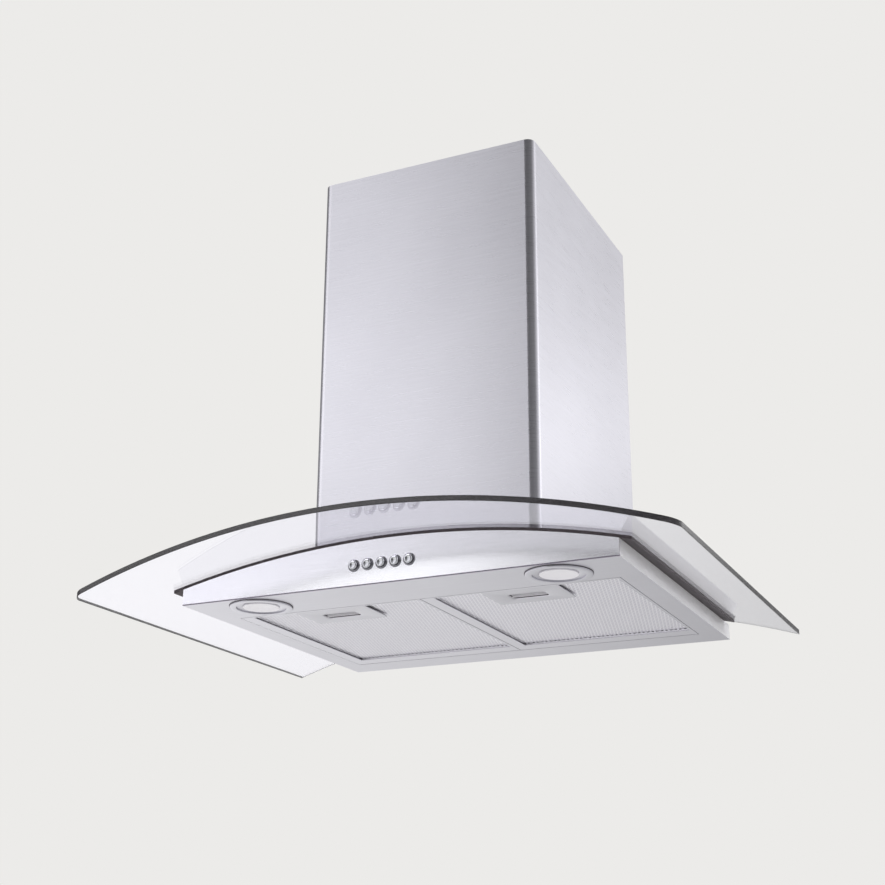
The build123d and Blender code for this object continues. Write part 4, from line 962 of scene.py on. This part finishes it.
def coil_spring(side):
    """A coil that stands for the solid spring and rides its latch."""
    node = "latch_spring_" + side
    low, high = [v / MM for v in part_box(node)]
    middle = (low + high) / 2
    coil_radius = (high.x - low.x) / 2 - WIRE
    start = low.y + WIRE
    rise = high.y - low.y - 2 * WIRE
    rings = []
    for step in range(TURNS * TURN_STEPS + 1):
        angle = 2 * math.pi * step / TURN_STEPS
        y = start + rise * step / (TURNS * TURN_STEPS)
        ring = []
        for corner in range(WIRE_STEPS):
            around_wire = 2 * math.pi * corner / WIRE_STEPS
            reach = coil_radius + WIRE * math.cos(around_wire)
            x = middle.x + reach * math.cos(angle)
            z = middle.z + reach * math.sin(angle)
            ring.append(Vector((x, y + WIRE * math.sin(around_wire), z)) * MM)
        rings.append(ring)
    build = bmesh.new()
    skin = bridge(build, rings)
    build.faces.new(skin[0])
    build.faces.new(skin[-1])
    coil = finish_mesh("coil_" + side, build, [spring_wire], "filter_" + side, node)
    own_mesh(coil)


for side in SIDES:
    coil_spring(side)

# %% [markdown]
# ## Screws
#
# Each screw has a domed head with a cross recess. The head and shank are turned from one
# profile, and a small tapered cross is sunk in the flat top. The sizes are shares of the
# head's own radius and height.

# %% A screw with a cross recess
HEAD_SIDES = 24
HEAD_EDGE = 0.45
HEAD_FLAT = 0.52
CROSS_REACH = 0.42
CROSS_WIDTH = 0.1
CROSS_DEPTH = 0.6
CROSS_TAPER = (0.55, 0.8)


def cross_loop(reach, width, height):
    """Twelve points round a cross."""
    points = []
    for quarter in range(4):
        turn = Matrix.Rotation(quarter * math.pi / 2, 2)
        for x, y in ((width, width), (width, reach), (-width, reach)):
            points.append((*(turn @ Vector((x, y))), height))
    return points


def draw_screw(build, matrix, head_radius, head_height, shank_radius, length):
    """A pan head whose top is at height 0 of the matrix, and its shank below."""
    edge = head_height * HEAD_EDGE
    flat = head_radius * HEAD_FLAT
    profile = [(0, -length), (shank_radius * 0.7, -length), (shank_radius, -length + 0.6)]
    profile += [(shank_radius, -head_height), (head_radius, -head_height)]
    profile += [(head_radius, -head_height + 0.3)]
    profile += arc(head_radius - edge, -edge, edge, 10, 80, 4)
    profile += [(flat, 0)]
    revolve(build, profile, matrix, segments=HEAD_SIDES)
    rim = []
    for i in range(HEAD_SIDES):
        angle = 2 * math.pi * i / HEAD_SIDES
        point = Vector((flat * math.cos(angle), flat * math.sin(angle), 0))
        rim.append(build.verts.new(matrix @ (point * MM)))
    reach, width = head_radius * CROSS_REACH, head_radius * CROSS_WIDTH
    floor_reach, floor_width = reach * CROSS_TAPER[0], width * CROSS_TAPER[1]
    depth = head_height * CROSS_DEPTH
    crosses = (cross_loop(reach, width, 0), cross_loop(floor_reach, floor_width, -depth))
    walls = bridge(build, [[matrix @ (Vector(p) * MM) for p in cross] for cross in crosses])
    build.faces.new(walls[1])
    edges = [build.edges.new((a, b)) for a, b in zip(rim, rim[1:] + rim[:1])]
    edges += [build.edges.get((a, b)) for a, b in zip(walls[0], walls[0][1:] + walls[0][:1])]
    bmesh.ops.triangle_fill(build, edges=edges, use_beauty=True)


print("corners in a cross:", len(cross_loop(1, 1, 0)))

# %% [markdown]
# The screws stand where their solids are: a solid's lumps are found one by one, and a
# screw is drawn along each. M4 screws hold the glass, the chimney and the scroll, and M3
# screws hold the rest. Each group has a direction in which its heads look.


# %% Screws where their solids are
M4 = (4.0, 2.4, 2.0)
M3 = (2.8, 1.8, 1.5)


def loose_parts(node):
    """The corner points of each separate lump of a solid."""
    build = bmesh.new()
    build.from_mesh(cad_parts[node].data)
    bmesh.ops.remove_doubles(build, verts=build.verts, dist=2 * WELD)
    found = set()
    lumps = []
    for start in build.verts:
        if start in found:
            continue
        found.add(start)
        lump = [start]
        for vert in lump:
            for edge in vert.link_edges:
                other = edge.other_vert(vert)
                if other not in found:
                    found.add(other)
                    lump.append(other)
        lumps.append([vert.co.copy() for vert in lump])
    build.free()
    return lumps


def dress_screws(node, body, outward, size):
    """Draw a screw along each lump of a node, with its head outward."""
    head_radius, head_height, shank_radius = size
    lumps = loose_parts(node)
    build = bmesh.new()
    for lump in lumps:
        centre = sum(lump, Vector()) / len(lump)
        direction = outward(centre).normalized()
        along = [(point - centre).dot(direction) for point in lump]
        top = facing(centre + direction * max(along), direction)
        length = (max(along) - min(along)) / MM
        draw_screw(build, top, head_radius, head_height, shank_radius, length)
    finish_mesh("cross_" + node, build, [zinc_plate], body, node)
    print(node, len(lumps))


def sideways_out(point):
    return Vector((math.copysign(1, point.x), 0, 0))


def off_the_glass(point):
    return Vector((point.x / MM, 0, point.z / MM - bend_centre))


dress_screws("glass_screws", "hood", off_the_glass, M4)
dress_screws("chimney_screws", "hood", sideways_out, M4)
dress_screws("scroll_screws", "hood", lambda point: Vector((0, 0, 1)), M4)
dress_screws("collar_screws", "hood", lambda point: Vector((0, 0, 1)), M3)
dress_screws("motor_screws", "hood", lambda point: Vector((-1, 0, 0)), M3)
dress_screws("switch_screws", "hood", lambda point: Vector((0, 1, 0)), M3)
dress_screws("bracket_screws", "upper_chimney", lambda point: -sideways_out(point), M3)

# %% [markdown]
# ## Which solid gets which finish
#
# The solids whose shape is already right keep it, and only get their finish. A star in a
# name stands for any letters, and the first line that fits a solid counts.

# %% Dress the solids that stay
FINISHES = (
    (chimney_steel, "*_chimney"),
    (body_steel, "canopy_shell"),
    (fascia_steel, "fascia"),
    (zinc_sheet, "top_plate blower_box *_bracket capacitor_clip"),
    (seat_rubber, "glass_seat"),
    (canopy_glass, "glass_canopy"),
    (nylon, "glass_bushes"),
    (black_nickel, "button_bezels"),
    (cap_chrome, "button_*"),
    (blower_plastic, "scroll_housing impeller* duct_collar damper_flap_*"),
    (switch_plastic, "switch_housing"),
    (terminal_plastic, "terminal_* cable_gland"),
    (capacitor_plastic, "capacitor"),
    (board_enamel, "led_boards"),
    (motor_enamel, "motor_body"),
    (bronze, "shaft_bushes"),
    (spring_wire, "motor_shaft damper_pin latch_spring_*"),
    (zinc_plate, "*_screws glass_nuts"),
    (lamp_nickel, "lamp_bezel_*"),
    (lens_plastic, "lamp_lens_*"),
    (lamp_can, "lamp_housing_*"),
    (filter_aluminium, "filter_*"),
    (latch_steel, "latch_plate_*"),
    (handle_steel, "latch_handle_*"),
)
for name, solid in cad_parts.items():
    fitting = [finish for finish, names in FINISHES if any(fnmatch(name, n) for n in names.split())]
    solid.data.materials.clear()
    solid.data.materials.append(fitting[0])
print("dressed", len(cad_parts), "solids")

# %% [markdown]
# ## Floor, background and light
#
# The photograph is a cut-out on a pale ground, so the set is plain: a floor far below the
# hood, and a world that is the same pale grey to the camera. The lights are large and
# soft, as in a product studio.

# %% Floor
PAPER = "#ECEBE9"
FLOOR_DROP = 1.75
FLOOR_HALF = 60.0
floor_corners = [
    (sx * FLOOR_HALF, sy * FLOOR_HALF, -FLOOR_DROP) for sx, sy in ((-1, -1), (1, -1), (1, 1), (-1, 1))
]
floor_mesh = bpy.data.meshes.new("floor")
floor_mesh.from_pydata(floor_corners, [], [(0, 1, 2, 3)])
floor = bpy.data.objects.new("floor", floor_mesh)
bpy.context.scene.collection.objects.link(floor)
floor_mesh.materials.append(start_material("floor_paint", PAPER, roughness=0.9)[0])
floor.visible_glossy = False
print("floor", FLOOR_DROP, "m below the hood")

# %% [markdown]
# The world is one pale grey to the camera, and a plain white light to everything matt.

# %% World
WORLD_LIGHT = 0.8
world = bpy.data.worlds.new("studio")
bpy.context.scene.world = world
world.use_nodes = True
world_tree = world.node_tree
rays = add(world_tree, "ShaderNodeLightPath")
world_light = world_tree.nodes["Background"]
world_light.inputs["Color"].default_value = linear("#FFFFFF")
world_light.inputs["Strength"].default_value = WORLD_LIGHT
paper = add(world_tree, "ShaderNodeBackground", {"Color": linear(PAPER), "Strength": 1.0})
print("world light", WORLD_LIGHT)

# %% [markdown]
# Polished metal and glass show the room, which was read from the photograph's
# reflections. A ramp over the compass says how bright the room is in each direction, in
# degrees from straight ahead of the hood, with the hood's right positive: white cards
# stand in front on the left and behind on the right, and the room is dark where the
# photographer stands. A second ramp does the same for the ground, a third for the
# backdrop that shows through the glass, and a fourth for the height.

# %% The room that metal and glass show
WALLS = (
    (-180, 0.55), (-166, 0.48), (-157, 0.5), (-151, 0.2), (-76, 0.25), (-62, 1.35),
    (-30, 1.13), (-27.5, 1.5), (-24.5, 1.6), (-22, 0.68), (-20, 0.25), (-15, 0.12),
    (20, 0.15), (75, 0.22), (100, 0.6), (118, 0.75), (126, 1.35), (154, 1.4),
    (158, 1.1), (161, 0.55), (164, 0.4), (172, 0.38), (180, 0.55),
)
GROUND = (
    (-180, 0.4), (-168, 0.54), (-164.7, 0.6), (-161, 0.72), (-155, 0.9), (-150, 0.88),
    (-145, 1.12), (-100, 1.1), (-40, 0.85), (0, 0.65), (60, 0.65), (110, 0.85),
    (160, 0.75), (180, 0.4),
)
BACKDROP = (
    (-180, 0.56), (-166, 0.6), (-161, 0.72), (-152, 1.06), (-136, 1.06), (-130, 1.3),
    (-60, 1.5), (-31, 1.55), (-28, 1.3), (-25, 0.85), (-21.5, 0.95), (-18.5, 0.45),
    (-15, 0.2), (30, 0.3), (50, 0.5), (70, 1.6), (155, 1.6), (165, 1.4),
    (171, 0.8), (180, 0.56),
)
HEIGHT = (
    (-1.0, 1.0), (-0.25, 1.06), (-0.2, 1.22), (0.0, 1.1), (0.1, 0.9), (0.263, 0.62),
    (0.277, 1.7), (0.345, 1.7), (0.41, 1.05), (0.51, 0.92), (0.7, 0.7), (1.0, 0.8),
)
BRIGHTEST = 1.7
print("stops:", len(WALLS), len(GROUND), len(BACKDROP), len(HEIGHT))


# %% Ramps over the compass and the height
def grey_ramp(source, low, high, stops):
    """A brightness for each value between low and high, as a share of the brightest."""
    span = {"From Min": low, "From Max": high}
    share = add(world_tree, "ShaderNodeMapRange", span, {"Value": source}).outputs["Result"]
    greys = []
    for value, brightness in stops:
        grey = brightness / BRIGHTEST
        greys.append(((value - low) / (high - low), (grey, grey, grey, 1.0)))
    return add(world_tree, "ShaderNodeValToRGB", links={"Fac": share}, stops=greys).outputs["Color"]


direction = add(world_tree, "ShaderNodeTexCoord").outputs["Generated"]
parts = add(world_tree, "ShaderNodeSeparateXYZ", links={"Vector": direction})
forward = add(world_tree, "ShaderNodeMath", {1: -1.0}, {0: parts.outputs["Y"]}, operation="MULTIPLY")
legs = {0: parts.outputs["X"], 1: forward.outputs[0]}
compass = add(world_tree, "ShaderNodeMath", links=legs, operation="ARCTAN2").outputs[0]
bearing = add(world_tree, "ShaderNodeMath", links={0: compass}, operation="DEGREES").outputs[0]
by_height = grey_ramp(parts.outputs["Z"], -1, 1, HEIGHT)
around = {}
for socket, stops in ((6, GROUND), (7, WALLS)):
    seen = {6: grey_ramp(bearing, -180, 180, stops), 7: by_height}
    shade = add(world_tree, "ShaderNodeMix", {0: 1.0}, seen, data_type="RGBA", blend_type="MULTIPLY")
    around[socket] = shade.outputs[2]
horizon = {"From Min": -0.06, "From Max": 0.04}
above = add(world_tree, "ShaderNodeMapRange", horizon, {"Value": parts.outputs["Z"]})
around["Factor"] = above.outputs["Result"]
seen_around = add(world_tree, "ShaderNodeMix", links=around, data_type="RGBA").outputs[2]
print("the room has", len(world_tree.nodes), "nodes so far")

# %% [markdown]
# Each kind of ray gets its own picture of the world. A ray that has passed through the
# glass counts as reflected too, so the backdrop comes last and wins over the room.

# %% One world for each kind of ray
room = add(world_tree, "ShaderNodeBackground", {"Strength": BRIGHTEST**2}, {"Color": seen_around})
backdrop = {"Color": grey_ramp(bearing, -180, 180, BACKDROP)}
backlight = add(world_tree, "ShaderNodeBackground", {"Strength": BRIGHTEST}, backdrop)
kinds = {"Is Camera Ray": paper, "Is Glossy Ray": room, "Is Transmission Ray": backlight}
shown = world_light.outputs[0]
for ray, background in kinds.items():
    choice = {0: rays.outputs[ray], 1: shown, 2: background.outputs[0]}
    shown = add(world_tree, "ShaderNodeMixShader", links=choice).outputs[0]
feed(world_tree, world_tree.nodes["World Output"], {"Surface": shown})
print("kinds of ray:", len(kinds))

# %% [markdown]
# Two large soft boxes light the hood from above, the left one from the front and the
# right one from behind. Metal doesn't show them, because it already shows the cards.


# %% Lamps
HOOD_MIDDLE = (0.0, -0.2, 0.15)


def soft_box(name, stands_at, side, watts):
    """A square area lamp that faces the middle of the hood."""
    data = bpy.data.lights.new(name, "AREA")
    data.shape = "RECTANGLE"
    data.size = side
    data.size_y = side
    data.energy = watts
    lamp = bpy.data.objects.new(name, data)
    lamp.location = stands_at
    aim = Vector(HOOD_MIDDLE) - Vector(stands_at)
    lamp.rotation_euler = aim.to_track_quat("-Z", "Y").to_euler()
    lamp.visible_glossy = False
    bpy.context.scene.collection.objects.link(lamp)
    print(name, watts, "W")


soft_box("top_left_box", (-0.9, -1.1, 2.4), 1.8, 22)
soft_box("top_right_box", (1.4, 0.4, 2.2), 1.6, 10)

# %% [markdown]
# ## Camera
#
# The camera's place, direction and lens come from a fit to the photograph: it stands to
# the right of the hood, below it, and looks up.

# %% Camera
CAMERA_AT = (0.6114, -1.5490, -0.3440)
CAMERA_YAW = math.radians(25.15)
CAMERA_PITCH = math.radians(19.88)
CAMERA_ROLL = math.radians(0.30)
PICTURE = 885
FOCAL_PIXELS = 1486.5
camera_data = bpy.data.cameras.new("camera")
camera_data.sensor_width = 36.0
camera_data.lens = camera_data.sensor_width * FOCAL_PIXELS / PICTURE
camera = bpy.data.objects.new("camera", camera_data)
bpy.context.scene.collection.objects.link(camera)
bpy.context.scene.camera = camera
turn = Matrix.Rotation(CAMERA_YAW, 4, "Z") @ Matrix.Rotation(math.pi / 2 + CAMERA_PITCH, 4, "X")
camera.matrix_world = Matrix.Translation(CAMERA_AT) @ turn @ Matrix.Rotation(CAMERA_ROLL, 4, "Z")
bpy.context.scene.view_settings.view_transform = "Standard"
print("lens", round(camera_data.lens, 1), "mm")
